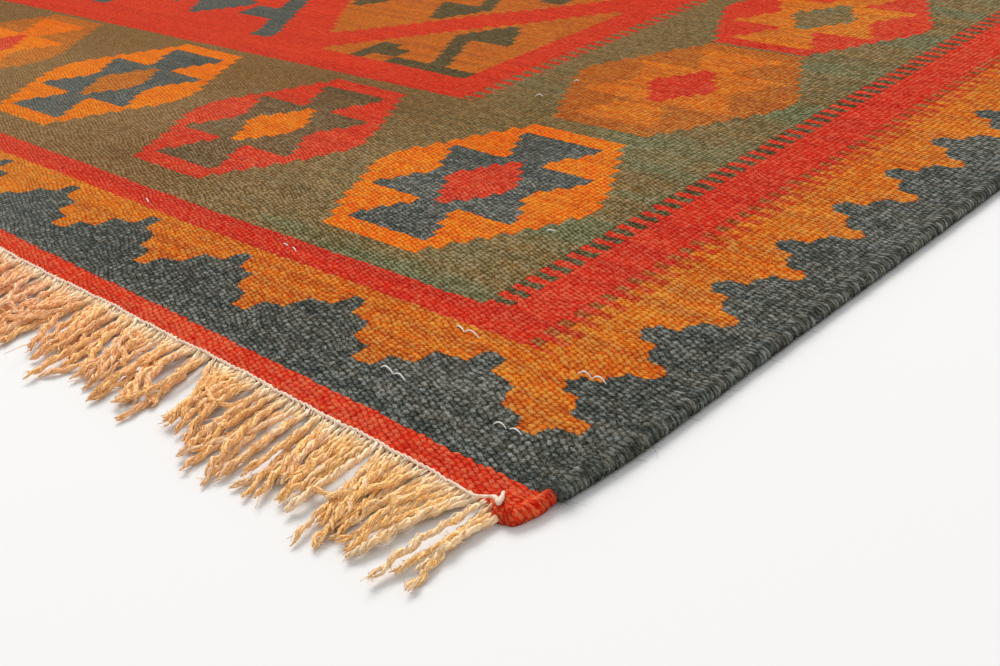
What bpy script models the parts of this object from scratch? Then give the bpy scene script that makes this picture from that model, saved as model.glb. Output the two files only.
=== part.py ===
"""A kilim rug lying flat: its woven cloth, two overcast selvedges and two fringes on twined end rows.

Metres, +Z up. The origin is on the floor under the middle of the rug. +Y runs along the warps, from the near
fringe to the far one, and +X runs across them. The near end's right corner is the one with the turned-back web.
"""

import math
import random

import bmesh
import bpy

# Overall sizes
RUG_WIDTH = 1.430
CLOTH_LENGTH = 2.238
CLOTH_THICKNESS = 0.0034
SEAM_GAP = 0.0003

# The selvedge: a bundle of edge warps overcast with wool, resting on a flat underside
SELVEDGE_WIDTH = 0.0070
SELVEDGE_HEIGHT = 0.0060
SELVEDGE_SETBACK = 0.0085
SELVEDGE_SIDES = 8

# How the woven rectangle lies: each side is drawn in here and there, each end runs out at one corner
DRAW_DEPTH = 0.0014
DRAW_WAVES = 3.5
CORNER_TUCK = 0.0040
CORNER_TUCK_REACH = 0.015
END_SLUMP = 0.0080
END_SLUMP_REACH = 0.200

# The end web, turned back on itself at the near right corner
WEB_LUMP_INSET = 0.0160
WEB_LUMP_SETBACK = 0.0045
WEB_LUMP_RADII = (0.0110, 0.0105, 0.0032)
WEB_LUMP_LIFT = 0.0004
WEB_LUMP_FACETS = (14, 8)

# The twined row that locks each end, with the fringe's roots fused into it
TWINED_ROW_DEPTH = 0.0022
TWINED_ROW_HEIGHT = 0.0032
TWINED_ROW_CORNER_INSET = 0.0290
TWINED_ROW_INSET = 0.0080

# The fringe's locks of warp ends
LOCKS_PER_END = 118
FRINGE_REACH = 0.0620
LOCK_LENGTH = 0.0500
LOCK_LENGTH_SPREAD = 0.0060
LOCK_ROOT_WIDTH = 0.0050
LOCK_SWAY = 0.0016
LOCK_LEAN = 0.36
LOCK_LEAN_REACH = 0.150
# Along a lock: share of its length, share of the root's width, height above the floor
LOCK_SECTIONS = (
    {"along": 0.30, "width": 1.45, "height": 0.0030},
    {"along": 0.68, "width": 1.30, "height": 0.0026},
    {"along": 1.00, "width": 0.55, "height": 0.0016},
)

COLUMNS = 40
ROWS = 60

# Base colour (linear) and roughness of each material; none of them is metallic
WOOL_COLOURS = {
    "kilim_wool": ((0.19, 0.13, 0.06), 0.92),
    "selvedge_wool": ((0.035, 0.038, 0.030), 0.95),
    "fringe_yarn": ((0.68, 0.42, 0.17), 0.90),
}

HALF_WIDTH = RUG_WIDTH / 2
HALF_LENGTH = CLOTH_LENGTH / 2
SELVEDGE_REACH = HALF_LENGTH - SELVEDGE_SETBACK
CLOTH_HALF_WIDTH = HALF_WIDTH - SELVEDGE_WIDTH - SEAM_GAP
NEAR = -1
FAR = 1
LEFT = -1
RIGHT = 1


def side_draw(y, side):
    """How far the selvedge on this side is drawn in at y: a slow wave, and a tuck at its slumped corner."""
    wave = DRAW_DEPTH * (1 - math.cos(math.pi * DRAW_WAVES * y / HALF_LENGTH + side))
    return wave + CORNER_TUCK * math.exp(-(SELVEDGE_REACH + side * y) / CORNER_TUCK_REACH)


def end_slump(x, end):
    """How far this end of the cloth runs out past its straight line at x, most at its slumped corner."""
    return END_SLUMP * math.exp(-(HALF_WIDTH + end * x) / END_SLUMP_REACH)


def end_point(x, end):
    """A point on the cloth's end edge, which is straight between the cloth's columns."""
    step = 2 * CLOTH_HALF_WIDTH / COLUMNS
    column = min(max(math.floor((x + CLOTH_HALF_WIDTH) / step), 0), COLUMNS - 1)
    x_low = column * step - CLOTH_HALF_WIDTH
    share = (x - x_low) / step
    slump = end_slump(x_low, end) * (1 - share) + end_slump(x_low + step, end) * share
    return x, end * (HALF_LENGTH + slump)


def side_point(row, side, outward=0.0):
    """A point on the cloth's side edge at this row, or that far outside it. The rows span the selvedge."""
    y = SELVEDGE_REACH * (2 * row / ROWS - 1)
    return side * (CLOTH_HALF_WIDTH - side_draw(y, side) + outward), y


def make_material(name):
    colour, roughness = WOOL_COLOURS[name]
    material = bpy.data.materials.new(name)
    material.diffuse_color = (*colour, 1)
    material.use_nodes = True
    shader = material.node_tree.nodes["Principled BSDF"]
    shader.inputs["Base Color"].default_value = (*colour, 1)
    shader.inputs["Roughness"].default_value = roughness
    shader.inputs["Metallic"].default_value = 0.0
    return material


def add_object(name, shape, material):
    """Turns the bmesh into a named object with its faces outward."""
    bmesh.ops.recalc_face_normals(shape, faces=shape.faces)
    mesh = bpy.data.meshes.new(name)
    shape.to_mesh(mesh)
    shape.free()
    mesh.materials.append(material)
    made = bpy.data.objects.new(name, mesh)
    bpy.context.scene.collection.objects.link(made)
    return made


def cloth_underside(shape):
    """Lays the cloth's underside: one face for each row, and one at each end with a point at every column."""
    left, right = ([shape.verts.new((*side_point(row, side), 0)) for row in range(ROWS + 1)] for side in (LEFT, RIGHT))
    for row in range(ROWS):
        shape.faces.new((left[row], right[row], right[row + 1], left[row + 1]))
    inner_columns = [2 * CLOTH_HALF_WIDTH * i / COLUMNS - CLOTH_HALF_WIDTH for i in range(1, COLUMNS)]
    for end, row in ((NEAR, 0), (FAR, ROWS)):
        columns = [left[row].co.x, *inner_columns, right[row].co.x]
        edge = [shape.verts.new((*end_point(x, end), 0)) for x in columns]
        shape.faces.new((*edge, right[row], left[row]))


def make_web_lump():
    """The rounded lump where the red end web is turned back at the near right corner. It joins the cloth."""
    shape = bmesh.new()
    around, down = WEB_LUMP_FACETS
    bmesh.ops.create_uvsphere(shape, u_segments=around, v_segments=down, radius=1)
    bmesh.ops.scale(shape, vec=WEB_LUMP_RADII, verts=shape.verts)
    x = HALF_WIDTH - WEB_LUMP_INSET
    centre = (x, end_point(x, NEAR)[1] + WEB_LUMP_SETBACK, WEB_LUMP_RADII[2] + WEB_LUMP_LIFT)
    bmesh.ops.translate(shape, vec=centre, verts=shape.verts)
    lump = add_object("web_lump_guide", shape, bpy.data.materials["kilim_wool"])
    lump.hide_render = True
    lump.display_type = "WIRE"
    return lump


def make_cloth():
    shape = bmesh.new()
    cloth_underside(shape)
    bmesh.ops.recalc_face_normals(shape, faces=shape.faces)
    raised = bmesh.ops.extrude_face_region(shape, geom=shape.faces[:])["geom"]
    top = [item for item in raised if isinstance(item, bmesh.types.BMVert)]
    bmesh.ops.translate(shape, vec=(0, 0, CLOTH_THICKNESS), verts=top)
    cloth = add_object("rug_cloth", shape, bpy.data.materials["kilim_wool"])
    joined = cloth.modifiers.new("turned_back_web", "BOOLEAN")
    joined.operation = "UNION"
    joined.object = make_web_lump()


def selvedge_section():
    """The selvedge's outline across, as (outward, up): an even polygon with one side flat on the floor."""
    half_turn = math.pi / SELVEDGE_SIDES
    section = []
    for corner in range(SELVEDGE_SIDES):
        angle = -math.pi / 2 + half_turn * (2 * corner + 1)
        out = SELVEDGE_WIDTH / 2 * (1 + math.cos(angle) / math.cos(half_turn))
        up = SELVEDGE_HEIGHT / 2 * (1 + math.sin(angle) / math.cos(half_turn))
        section.append((out, up))
    return section


def make_selvedge(name, side):
    shape = bmesh.new()
    section = selvedge_section()
    rings = []
    for row in range(ROWS + 1):
        rings.append([shape.verts.new((*side_point(row, side, SEAM_GAP + out), up)) for out, up in section])
    for low, high in zip(rings, rings[1:]):
        for corner in range(SELVEDGE_SIDES):
            after = (corner + 1) % SELVEDGE_SIDES
            shape.faces.new((low[corner], low[after], high[after], high[corner]))
    shape.faces.new(rings[0])
    shape.faces.new(rings[-1])
    add_object(name, shape, bpy.data.materials["selvedge_wool"])


def lock_path(root_x, end, chance):
    """The lock's sections as (x, y, half width, height), from the first one past its root to its tip."""
    x, y = end_point(root_x, end)
    y += end * (SEAM_GAP + TWINED_ROW_DEPTH)
    from_corner = HALF_WIDTH + end * root_x
    lean = -end * LOCK_LEAN * (1 - math.exp(-((from_corner / LOCK_LEAN_REACH) ** 2)))
    length = LOCK_LENGTH + LOCK_LENGTH_SPREAD * chance.uniform(-1, 1)
    length = min(length, HALF_LENGTH + FRINGE_REACH - abs(y))
    sway = LOCK_SWAY * chance.uniform(-1, 1)
    path = []
    for section in LOCK_SECTIONS:
        along = section["along"]
        swayed = x + lean * length * along + sway * math.sin(math.pi * along)
        half_width = LOCK_ROOT_WIDTH / 2 * section["width"]
        path.append((swayed, y + end * length * along, half_width, section["height"]))
    return path


def make_fringe(name, end):
    """The twined row as a narrow strip, with each lock drawn out of its outer face."""
    chance = random.Random(name)
    shape = bmesh.new()
    start, stop = sorted((end * (HALF_WIDTH - TWINED_ROW_INSET), -end * (HALF_WIDTH - TWINED_ROW_CORNER_INSET)))
    pitch = (stop - start) / LOCKS_PER_END
    roots = [start + pitch * (lock + 0.5) for lock in range(LOCKS_PER_END)]
    marks = [start]
    for root in roots:
        marks += [root - LOCK_ROOT_WIDTH / 2, root + LOCK_ROOT_WIDTH / 2]
    marks.append(stop)
    strip = []
    for x in marks:
        _, y = end_point(x, end)
        inner = y + end * SEAM_GAP
        outer = inner + end * TWINED_ROW_DEPTH
        corners = ((inner, 0), (outer, 0), (outer, TWINED_ROW_HEIGHT), (inner, TWINED_ROW_HEIGHT))
        strip.append([shape.verts.new((x, across, up)) for across, up in corners])
    for mark, (low, high) in enumerate(zip(strip, strip[1:])):
        shape.faces.new((low[0], low[1], high[1], high[0]))
        shape.faces.new((low[2], low[3], high[3], high[2]))
        shape.faces.new((low[3], low[0], high[0], high[3]))
        is_root = mark % 2 == 1
        if not is_root:
            shape.faces.new((low[1], low[2], high[2], high[1]))
            continue
        ring = [low[1], low[2], high[2], high[1]]
        for x, y, half_width, height in lock_path(roots[mark // 2], end, chance):
            shoulder = half_width * 0.6
            corners = ((-half_width, 0), (-shoulder, height), (shoulder, height), (half_width, 0))
            grown = [shape.verts.new((x + across, y, up)) for across, up in corners]
            for i in range(4):
                after = (i + 1) % 4
                shape.faces.new((ring[i], ring[after], grown[after], grown[i]))
            ring = grown
        shape.faces.new(ring)
    shape.faces.new(strip[0])
    shape.faces.new(strip[-1])
    add_object(name, shape, bpy.data.materials["fringe_yarn"])


def main():
    for old in list(bpy.data.objects):
        bpy.data.objects.remove(old, do_unlink=True)
    for name in WOOL_COLOURS:
        make_material(name)
    make_cloth()
    make_selvedge("selvedge_right", RIGHT)
    make_selvedge("selvedge_left", LEFT)
    make_fringe("fringe_near", NEAR)
    make_fringe("fringe_far", FAR)


main()
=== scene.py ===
"""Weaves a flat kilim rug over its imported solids.

The cloth, its overcast selvedges, the threads that lock its ends, the fringes, a few tacking stitches and the
wool's fluff are surfaces worked out with numpy. Metres, +Z up. +Y runs along the warps from the near fringe to
the far one, +X across them, and the near end's right corner is the one with the turned-back web.
"""

import math

import bpy
import numpy as np
from bpy.props import FloatProperty, FloatVectorProperty, IntProperty, PointerProperty
from mathutils import Matrix, Vector


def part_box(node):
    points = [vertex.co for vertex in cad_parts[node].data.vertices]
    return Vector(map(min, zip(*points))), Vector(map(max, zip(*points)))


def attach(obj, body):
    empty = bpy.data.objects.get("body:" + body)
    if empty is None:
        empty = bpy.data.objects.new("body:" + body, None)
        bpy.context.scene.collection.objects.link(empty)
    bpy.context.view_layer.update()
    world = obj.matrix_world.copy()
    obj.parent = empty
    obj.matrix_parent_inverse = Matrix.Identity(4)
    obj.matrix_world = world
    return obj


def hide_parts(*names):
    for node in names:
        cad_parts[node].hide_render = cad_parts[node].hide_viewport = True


bl_info = {
    "name": "Kilim rug",
    "version": (1, 0, 0),
    "blender": (4, 5, 0),
    "location": "3D View > Sidebar > Kilim",
    "description": "Weaves a flat kilim rug with a stepped border, medallions, a hooked field and fringes",
    "category": "Object",
}

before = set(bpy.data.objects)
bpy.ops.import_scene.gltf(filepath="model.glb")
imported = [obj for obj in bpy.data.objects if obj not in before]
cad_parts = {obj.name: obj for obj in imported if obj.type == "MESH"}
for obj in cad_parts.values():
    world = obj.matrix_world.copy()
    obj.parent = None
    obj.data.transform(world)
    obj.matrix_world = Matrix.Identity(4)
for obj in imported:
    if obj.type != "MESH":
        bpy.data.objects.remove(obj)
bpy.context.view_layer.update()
LEFT_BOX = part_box("selvedge_left")
RIGHT_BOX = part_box("selvedge_right")
NEAR, FAR = -1, 1
LEFT, RIGHT = -1, 1
MM = 0.001

# The chart. Sizes in it are millimetres: "in" counts from the selvedge towards the rug's middle line, and "up"
# counts from the thread that locks the end.
CHART = {
    "middle": 710.0,
    "end": 1119.0,
    "web_up": 12.5,
    "frame_up": 75.8,
    "ground_up": 93.0,
    "frame_slant": 0.0245,
    "frame_slant_from": 385.0,
    "field_up": 287.5,
    "field_slant": 0.017,
    "field_margin_up": 324.0,
    "field_margin_in": 362.0,
    "frame_in": 68.5,
    "frame_fingers": 17.0,
    "frame_fringe": 8.0,
    "ground_in": 113.0,
    "ground_fingers": 12.8,
    "field_in": 323.0,
    "field_fingers": 12.0,
    "finger_pitch": 9.4,
    "finger_down": 1018.8,
}
# The stepped teeth of the orange border, in millimetres: the first tooth's middle, the pitch, where a tooth's tip
# starts, how far its edge steps back beyond each distance from its middle, how fast it takes a step and how it
# slopes between them. At the seen corner the teeth crowd together and dip, and both fade within a reach.
END_TEETH = {
    "first": 36.3,
    "pitch": 83.375,
    "drift": 9.0,
    "tip": 33.0,
    "steps": ((6.2, 9.5), (20, 11.2), (36.5, 10.5)),
    "haste": 0.75,
    "slope": 0.15,
    "crowd": 5.2,
    "crowd_reach": 32,
    "early_crowd": 5.0,
    "early_reach": 330,
    "corner_dip": 2.0,
    "corner_reach": 40,
}
SIDE_TEETH = {
    "first": 43.0,
    "pitch": 50.2,
    "tip": 21.0,
    "steps": ((5.5, 10.8), (18.5, 9.2)),
    "haste": 1.4,
    "slope": 0.38,
    "crowd": 68.0,
    "crowd_reach": 18.9,
    "corner_dip": 7.0,
    "corner_reach": 45,
}

# The dyes, as (colour, second dye lot), each 0 to 255 as daylight shows it
DYES = {
    "charcoal": ((88, 92, 85), (106, 104, 93)),
    "end_red": ((247, 87, 47), (228, 71, 43)),
    "border_orange": ((240, 133, 36), (212, 117, 44)),
    "mottle": ((172, 104, 52), (196, 88, 42)),
    "rust": ((226, 92, 40), (206, 80, 38)),
    "frame_red": ((236, 71, 41), (218, 62, 39)),
    "olive": ((153, 122, 76), (127, 110, 73)),
    "moss": ((110, 94, 61), (100, 86, 57)),
    "gul_orange": ((255, 130, 25), (238, 114, 27)),
    "gul_red": ((234, 76, 44), (216, 66, 41)),
    "gul_ochre": ((208, 118, 42), (188, 106, 45)),
    "gul_brown": ((134, 104, 69), (118, 94, 65)),
    "field_red": ((232, 70, 39), (216, 62, 37)),
    "field_orange": ((216, 117, 38), (194, 102, 42)),
}
DYE_NUMBERS = {name: number for number, name in enumerate(DYES)}
# The olive's green clouds, the brown it turns to away from the seen corner, and pale lint on every dye
VERDIGRIS = (122, 124, 88)
BARK = (144, 104, 62)
LINT = (190, 180, 150)

# The medallions along an end border and up a side border: middle and half width in millimetres, and the dyes of
# its ring, figure and heart
END_MEDALLIONS = (
    {"in": 224.5, "half": 80.0, "ring": "gul_orange", "figure": "charcoal", "heart": "gul_red"},
    {"in": 406.5, "half": 79.5, "ring": "gul_red", "figure": "gul_brown", "heart": "gul_orange"},
    {"in": 589.5, "half": 82.5, "ring": "gul_orange", "figure": "charcoal", "heart": "gul_ochre"},
    {"in": 787.0, "half": 90.0, "ring": "gul_ochre", "figure": "gul_orange", "heart": "gul_red"},
    {"in": 991.0, "half": 86.0, "ring": "gul_red", "figure": "charcoal", "heart": "gul_ochre"},
    {"in": 1195.5, "half": 83.0, "ring": "gul_orange", "figure": "gul_brown", "heart": "gul_red"},
)
SIDE_MEDALLIONS = (
    {"ring": "gul_ochre", "figure": "border_orange", "heart": "gul_red"},
    {"ring": "gul_red", "figure": "border_orange", "heart": "olive"},
    {"ring": "gul_orange", "figure": "charcoal", "heart": "gul_ochre"},
    {"ring": "gul_red", "figure": "gul_brown", "heart": "gul_orange"},
)
# Where their middles lie: in from a side, the first three up it and how many steps go from there to the far corner,
# and up from an end
SIDE_MEDALLION_IN = 223.5
SIDE_MEDALLION_UPS = (198.9, 379.4, 547.4)
SIDE_MEDALLIONS_LEFT = 8
END_MEDALLION_UP = 198.9
# A medallion as charted, in millimetres from its middle: its half width and height, where it is blunt, and where its
# inner figure's belly and wings end
MEDALLION = {"half": 81.5, "half_up": 82.5, "blunt": 79.0, "belly_up": 33.0, "wings_up": 69.5}
# Its stepped outlines: the height of a step, what each step adds to the width, and the first half width
MEDALLION_STEPS = {
    "ring": (10.31, -6.4, 81.5),
    "belly": (8.25, 5.67, 37.0),
    "wings": (9.13, 5.3, 14.0),
    "heart": (7.75, -5.6, 22.5),
}
# The field's lattice of diamonds, in millimetres. Its zone counts from the side and the end.
LATTICE = {
    "half_pitch_in": 172.0,
    "first_up": 327.4,
    "rows": 8,
    "half_in": 146.0,
    "half_up": 166.0,
    "step_up": 8.0,
    "zone_in": 350,
    "zone_up": 312,
}

# Small white tacking stitches, each one arc of thread, in millimetres: its middle, its run towards the selvedge,
# its rise up the cloth, and how high it stands
TACKS = (
    {"in": 50.4, "up": 29.5, "run": 6.1, "rise": 0.6, "lift": 1.3},
    {"in": 43.0, "up": 30.2, "run": 6.2, "rise": -0.1, "lift": 0.9},
    {"in": 116.9, "up": 32.3, "run": 8.7, "rise": -0.7, "lift": 1.7},
    {"in": 108.4, "up": 31.5, "run": 8.2, "rise": -0.9, "lift": 1.5},
    {"in": 116.8, "up": 74.9, "run": 6.7, "rise": -1.8, "lift": 0.8},
    {"in": 108.7, "up": 73.7, "run": 9.4, "rise": -0.4, "lift": 1.7},
    {"in": 47.3, "up": 75.0, "run": 6.9, "rise": 0.6, "lift": 1.9},
    {"in": 40.2, "up": 75.4, "run": 7.3, "rise": 0.1, "lift": 1.8},
    {"in": 4.2, "up": 90.8, "run": 5.6, "rise": -2.6, "lift": 0.6},
    {"in": 253.6, "up": 87.2, "run": 4.2, "rise": -0.1, "lift": 0.3},
    {"in": 245.7, "up": 86.3, "run": 4.6, "rise": -1.5, "lift": 0.4},
    {"in": 371.1, "up": 81.1, "run": 6.6, "rise": -2.6, "lift": 0.4},
    {"in": 149.9, "up": 171.7, "run": 5.0, "rise": 1.8, "lift": 0.3},
    {"in": 291.1, "up": 320.4, "run": 4.6, "rise": 2.5, "lift": 1.4},
    {"in": 289.3, "up": 355.0, "run": 2.6, "rise": 1.7, "lift": 0.8},
)

# A selvedge's section, counterclockwise from its foot: (out from the seam over its width, up over its height). Its
# flap lies on the cloth from the third point before the last inward. Its wraps swell it from its middle.
SELVEDGE_SECTION = (
    (0.78, 0.0), (0.95, 0.14), (1.0, 0.36), (0.96, 0.58), (0.83, 0.77), (0.6, 0.89), (0.3, 0.9), (-0.02, 0.85),
    (-0.36, 0.76), (-0.66, 0.675), (-0.8, 0.6), (0.03, 0.7), (0.03, 0.0),
)
SELVEDGE_FLAP_TIP = 10
SELVEDGE_MIDDLE = (0.3, 0.45)
# Where its hairs grow, in the same measures
SELVEDGE_HAIRLINES = ((0.95, 0.3), (0.9, 0.7), (0.6, 0.93), (0.1, 0.87), (-0.6, 0.67), (-1.7, 0.585))
# Where the locking thread's loose end runs over the turned-back web: (in, up, height) in millimetres
HOOK = (
    (42.0, -6.8, 3.7), (34.0, -7.6, 3.9), (27.0, -8.8, 4.3), (22.8, -7.6, 5.0), (19.2, -6.0, 5.7), (16.6, -7.0, 6.3),
    (14.9, -8.6, 6.1), (14.8, -7.2, 6.6), (16.6, -4.4, 6.4), (18.6, -1.8, 5.6),
)
# The camera's right, up and back, and where it stands from the seen corner, in metres
CAMERA_AXES = (
    (0.72380114, 0.68399244, -0.0909189),
    (-0.27454566, 0.40636589, 0.87148806),
    (0.63303758, -0.60582267, 0.48191525),
)
CAMERA_STAND = (0.24202, -0.24760, 0.26)
SEEN_CORNER = (0.710, -1.1166, 0.0034)
# The large soft lamp: where it stands and aims, and its size
LAMP_STAND, LAMP_AIM, LAMP_SIZE = (-4.25, 2.06, 5.4), (0.4, -0.8, 0), (4.8, 3.3)


def daylight(red, green, blue):
    """Scene-linear colour of a display colour from 0 to 255."""
    return tuple((max(value, 1) / 255) ** 2.2 for value in (red, green, blue))


def length_property(name, description, default):
    return FloatProperty(name=name, description=description, default=default, min=0.0, unit="LENGTH", precision=5)


def colour_property(name, description, default):
    return FloatVectorProperty(name=name, description=description, default=default, subtype="COLOR", min=0.0, max=1.0)


class KilimClothSettings(bpy.types.PropertyGroup):
    """Sizes of the woven cloth and of how it lies."""

    rug_width: length_property("Rug width", "Over both selvedges", RIGHT_BOX[1].x - LEFT_BOX[0].x)
    cloth_length: length_property("Cloth length", "Between the threads that lock the ends", 2.238)
    thickness: length_property("Thickness", "Of the woven cloth", 0.0034)
    cell: length_property("Mesh cell", "Widest face of the cloth's mesh", 0.0125)
    rib: length_property("Rib", "Pitch of the ribs that the warps raise", 0.00338)
    bead: length_property("Bead", "Pitch of the wefts along one rib", 0.00235)
    bead_slant: FloatProperty(name="Bead slant", description="Slope of a bead across its rib", default=0.22)
    cockle: length_property("Cockle", "Height of the cloth's slight unevenness", 0.00035)
    edge_round: length_property("Edge round", "Reach of the rounding at each end", 0.0016)
    side_rise: length_property("Side rise", "How far the sides thicken towards the selvedges", 0.0014)
    side_rise_reach: length_property("Side rise reach", "Where that thickening fades", 0.005)
    draw_depth: length_property("Draw", "How far the sides are drawn in by the weave", 0.0014)
    draw_waves: FloatProperty(name="Draw waves", description="Waves of the draw in half the length", default=3.5)
    corner_tuck: length_property("Corner tuck", "How far a slumped corner is drawn in", 0.004)
    corner_tuck_reach: length_property("Tuck reach", "How far along the side the tuck fades", 0.015)
    end_slump: length_property("End slump", "How far an end runs out at its slumped corner", 0.008)
    end_slump_reach: length_property("Slump reach", "How far along the end the slump fades", 0.2)
    side_rows: IntProperty(name="Side rows", description="Straight stretches of each side", default=60, min=2)


class KilimSelvedgeSettings(bpy.types.PropertyGroup):
    """Sizes of the overcast selvedges."""

    width: length_property("Width", "Across the overcast bundle", 0.007)
    height: length_property("Height", "From the floor to its top", RIGHT_BOX[1].z)
    setback: length_property("Setback", "From the cloth's end to the selvedge's", 0.0085)
    gap: length_property("Gap", "To the cloth", 0.0003)
    hair_length: length_property("Hair length", "Longest hair that stands out of the wool", 0.006)
    wool: colour_property("Wool", "Overcasting wool", daylight(72, 80, 72))
    hair: colour_property("Hair", "Pale hairs that stand out of the wool", daylight(150, 150, 132))


class KilimFringeSettings(bpy.types.PropertyGroup):
    """Sizes of the fringes and of the threads that lock the ends."""

    locks: IntProperty(name="Locks", description="Locks of warp ends along each end", default=118, min=1)
    fine_locks: IntProperty(name="Fine locks", description="Locks of the near fringe made in fine detail", default=48)
    corner_inset: length_property("Corner inset", "From the rug's side to the first warp end", 0.0165)
    reach: length_property("Reach", "Longest warp end", 0.065)
    length: length_property("Length", "Usual length of a lock", 0.052)
    length_spread: length_property("Length spread", "Most that a lock's length differs", 0.007)
    yarn_radius: length_property("Yarn radius", "Of a twisted warp end", 0.00122)
    twist_pitch: length_property("Twist pitch", "One turn of its strands", 0.015)
    thread_radius: length_property("Thread radius", "Of each ply of the locking thread", 0.00046)
    lean: FloatProperty(name="Lean", description="Sideways slope of the locks far from the corner", default=0.36)
    corner_lean: FloatProperty(name="Corner lean", description="Slope the other way at the corner", default=0.14)
    lean_reach: length_property("Lean reach", "Where along the end the lean sets in", 0.12)
    root: colour_property("Root", "Undyed warp at the roots", daylight(255, 234, 200))
    gold: colour_property("Gold", "Warp ends near the seen corner", daylight(255, 187, 78))
    rust: colour_property("Rust", "Warp ends further along", daylight(253, 157, 78))
    thread: colour_property("Thread", "Locking thread", daylight(240, 214, 192))


class KilimStageSettings(bpy.types.PropertyGroup):
    """Floor, light and camera."""

    floor: colour_property("Floor", "Pale floor", (0.74, 0.73, 0.72))
    sky: FloatProperty(name="Fill light", description="Strength of the even light from all round", default=0.74)
    key: FloatProperty(name="Key light", description="Power of the large soft lamp, in watts", default=562.0)
    lens: FloatProperty(name="Lens", description="Focal length in millimetres on a 36 mm sensor", default=45.87)


# ---- How the woven rectangle lies


def half_sizes(cloth, selvedge):
    """Half width and half length of the woven rectangle between its selvedges and locking threads."""
    return cloth.rug_width / 2 - selvedge.width - selvedge.gap, cloth.cloth_length / 2


def side_draw(cloth, selvedge, y, side):
    """How far a side is drawn in at y: a cosine wave and an exponential tuck, straight between the side's rows."""
    half_length = cloth.cloth_length / 2
    reach = half_length - selvedge.setback
    rows = np.linspace(-reach, reach, cloth.side_rows + 1)
    wave = cloth.draw_depth * (1 - np.cos(np.pi * cloth.draw_waves * rows / half_length + side))
    tuck = cloth.corner_tuck * np.exp(-(reach + side * rows) / cloth.corner_tuck_reach)
    return np.interp(y, rows, wave + tuck)


def end_slump(cloth, x, end):
    """How far an end runs out past its straight line at x: it falls off exponentially from its slumped corner."""
    return cloth.end_slump * np.exp(-(cloth.rug_width / 2 + end * x) / cloth.end_slump_reach)


def lie(cloth, selvedge, x, y):
    """Where a point of the woven rectangle lies: each side's draw and each end's slump fade exponentially inward."""
    half_width, half_length = half_sizes(cloth, selvedge)
    fade_in, fade_up = 0.03, 0.05
    right = np.exp(-(half_width - x) / fade_in) * side_draw(cloth, selvedge, y, RIGHT)
    left = np.exp(-(half_width + x) / fade_in) * side_draw(cloth, selvedge, y, LEFT)
    near = np.exp(-(half_length + y) / fade_up) * end_slump(cloth, x, NEAR)
    far = np.exp(-(half_length - y) / fade_up) * end_slump(cloth, x, FAR)
    return x - right + left, y - near + far


# ---- Meshes


def stacked(*parts):
    """One array whose last axis runs over these arrays or numbers."""
    return np.stack(np.broadcast_arrays(*parts), axis=-1)


def build_mesh(name, points, faces):
    """A mesh of these points, from arrays of faces with one array for each number of corners."""
    mesh = bpy.data.meshes.new(name)
    corners = np.concatenate([group.ravel() for group in faces]).astype(np.int32)
    sizes = np.concatenate([np.full(len(group), group.shape[1]) for group in faces])
    starts = np.concatenate([[0], np.cumsum(sizes)[:-1]]).astype(np.int32)
    mesh.vertices.add(len(points))
    mesh.vertices.foreach_set("co", points.astype(np.float32).ravel())
    mesh.loops.add(len(corners))
    mesh.loops.foreach_set("vertex_index", corners)
    mesh.polygons.add(len(sizes))
    mesh.polygons.foreach_set("loop_start", starts)
    mesh.polygons.foreach_set("use_smooth", np.ones(len(sizes), dtype=bool))
    mesh.update(calc_edges=True)
    if mesh.validate():
        raise RuntimeError(f"{name}: its faces don't close")
    return mesh


def set_map(mesh, name, values):
    """A UV map from an array with a row for each face corner."""
    layer = mesh.uv_layers.new(name=name, do_init=False)
    layer.data.foreach_set("uv", values.astype(np.float32).ravel())


def set_vectors(mesh, name, domain, values):
    """A vector attribute from an array with a row for each point or face corner."""
    layer = mesh.attributes.new(name, "FLOAT_VECTOR", domain)
    layer.data.foreach_set("vector", values.astype(np.float32).ravel())


def place_piece(mesh, material, nodes=()):
    """Links the mesh as a piece that rides on the rug and stands for these solids."""
    old = bpy.data.objects.get(mesh.name)
    if old is not None:
        bpy.data.objects.remove(old, do_unlink=True)
    piece = bpy.data.objects.new(mesh.name, mesh)
    mesh.materials.append(material)
    bpy.context.scene.collection.objects.link(piece)
    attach(piece, "root")
    if nodes:
        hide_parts(*nodes)
    return piece


def tube_faces(tubes, rings, sides):
    """Side quads and both end caps of many tubes whose points are numbered tube by tube and ring by ring."""
    tube = np.arange(tubes)[:, None, None] * rings
    ring = np.arange(rings - 1)[None, :, None]
    side = np.arange(sides)[None, None, :]
    low = (tube + ring) * sides
    after = (side + 1) % sides
    quads = stacked(low + side, low + sides + side, low + sides + after, low + after)
    first = np.arange(tubes)[:, None] * rings * sides + np.arange(sides)[None, :]
    last = first[:, ::-1] + (rings - 1) * sides
    return [quads.reshape(-1, 4), first, last]


def tube_map(tubes, rings, sides):
    """A UV map that gives each tube its own cell of a square grid, with its two caps in the cell's margin."""
    across = math.ceil(math.sqrt(tubes))
    cell = 1.0 / across
    corner = stacked(np.arange(tubes) % across, np.arange(tubes) // across) * cell
    side = np.arange(sides)[None, :]
    ring = np.arange(rings - 1)[:, None]
    u = stacked(side, side, side + 1, side + 1) / sides
    v = stacked(ring, ring + 1, ring + 1, ring) / (rings - 1)
    wall = stacked(0.05 + 0.9 * u, 0.05 + 0.82 * v).reshape(1, -1, 2)
    walls = corner[:, None] + cell * wall
    turn = round_angles(sides)
    disc = stacked(np.cos(turn), np.sin(turn)) * 0.035
    caps_up = 0.935
    first = corner[:, None] + cell * (disc[None] + (0.25, caps_up))
    last = corner[:, None] + cell * (disc[None, ::-1] * (1, -1) + (0.75, caps_up))
    return np.concatenate([walls.reshape(-1, 2), first.reshape(-1, 2), last.reshape(-1, 2)])


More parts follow.
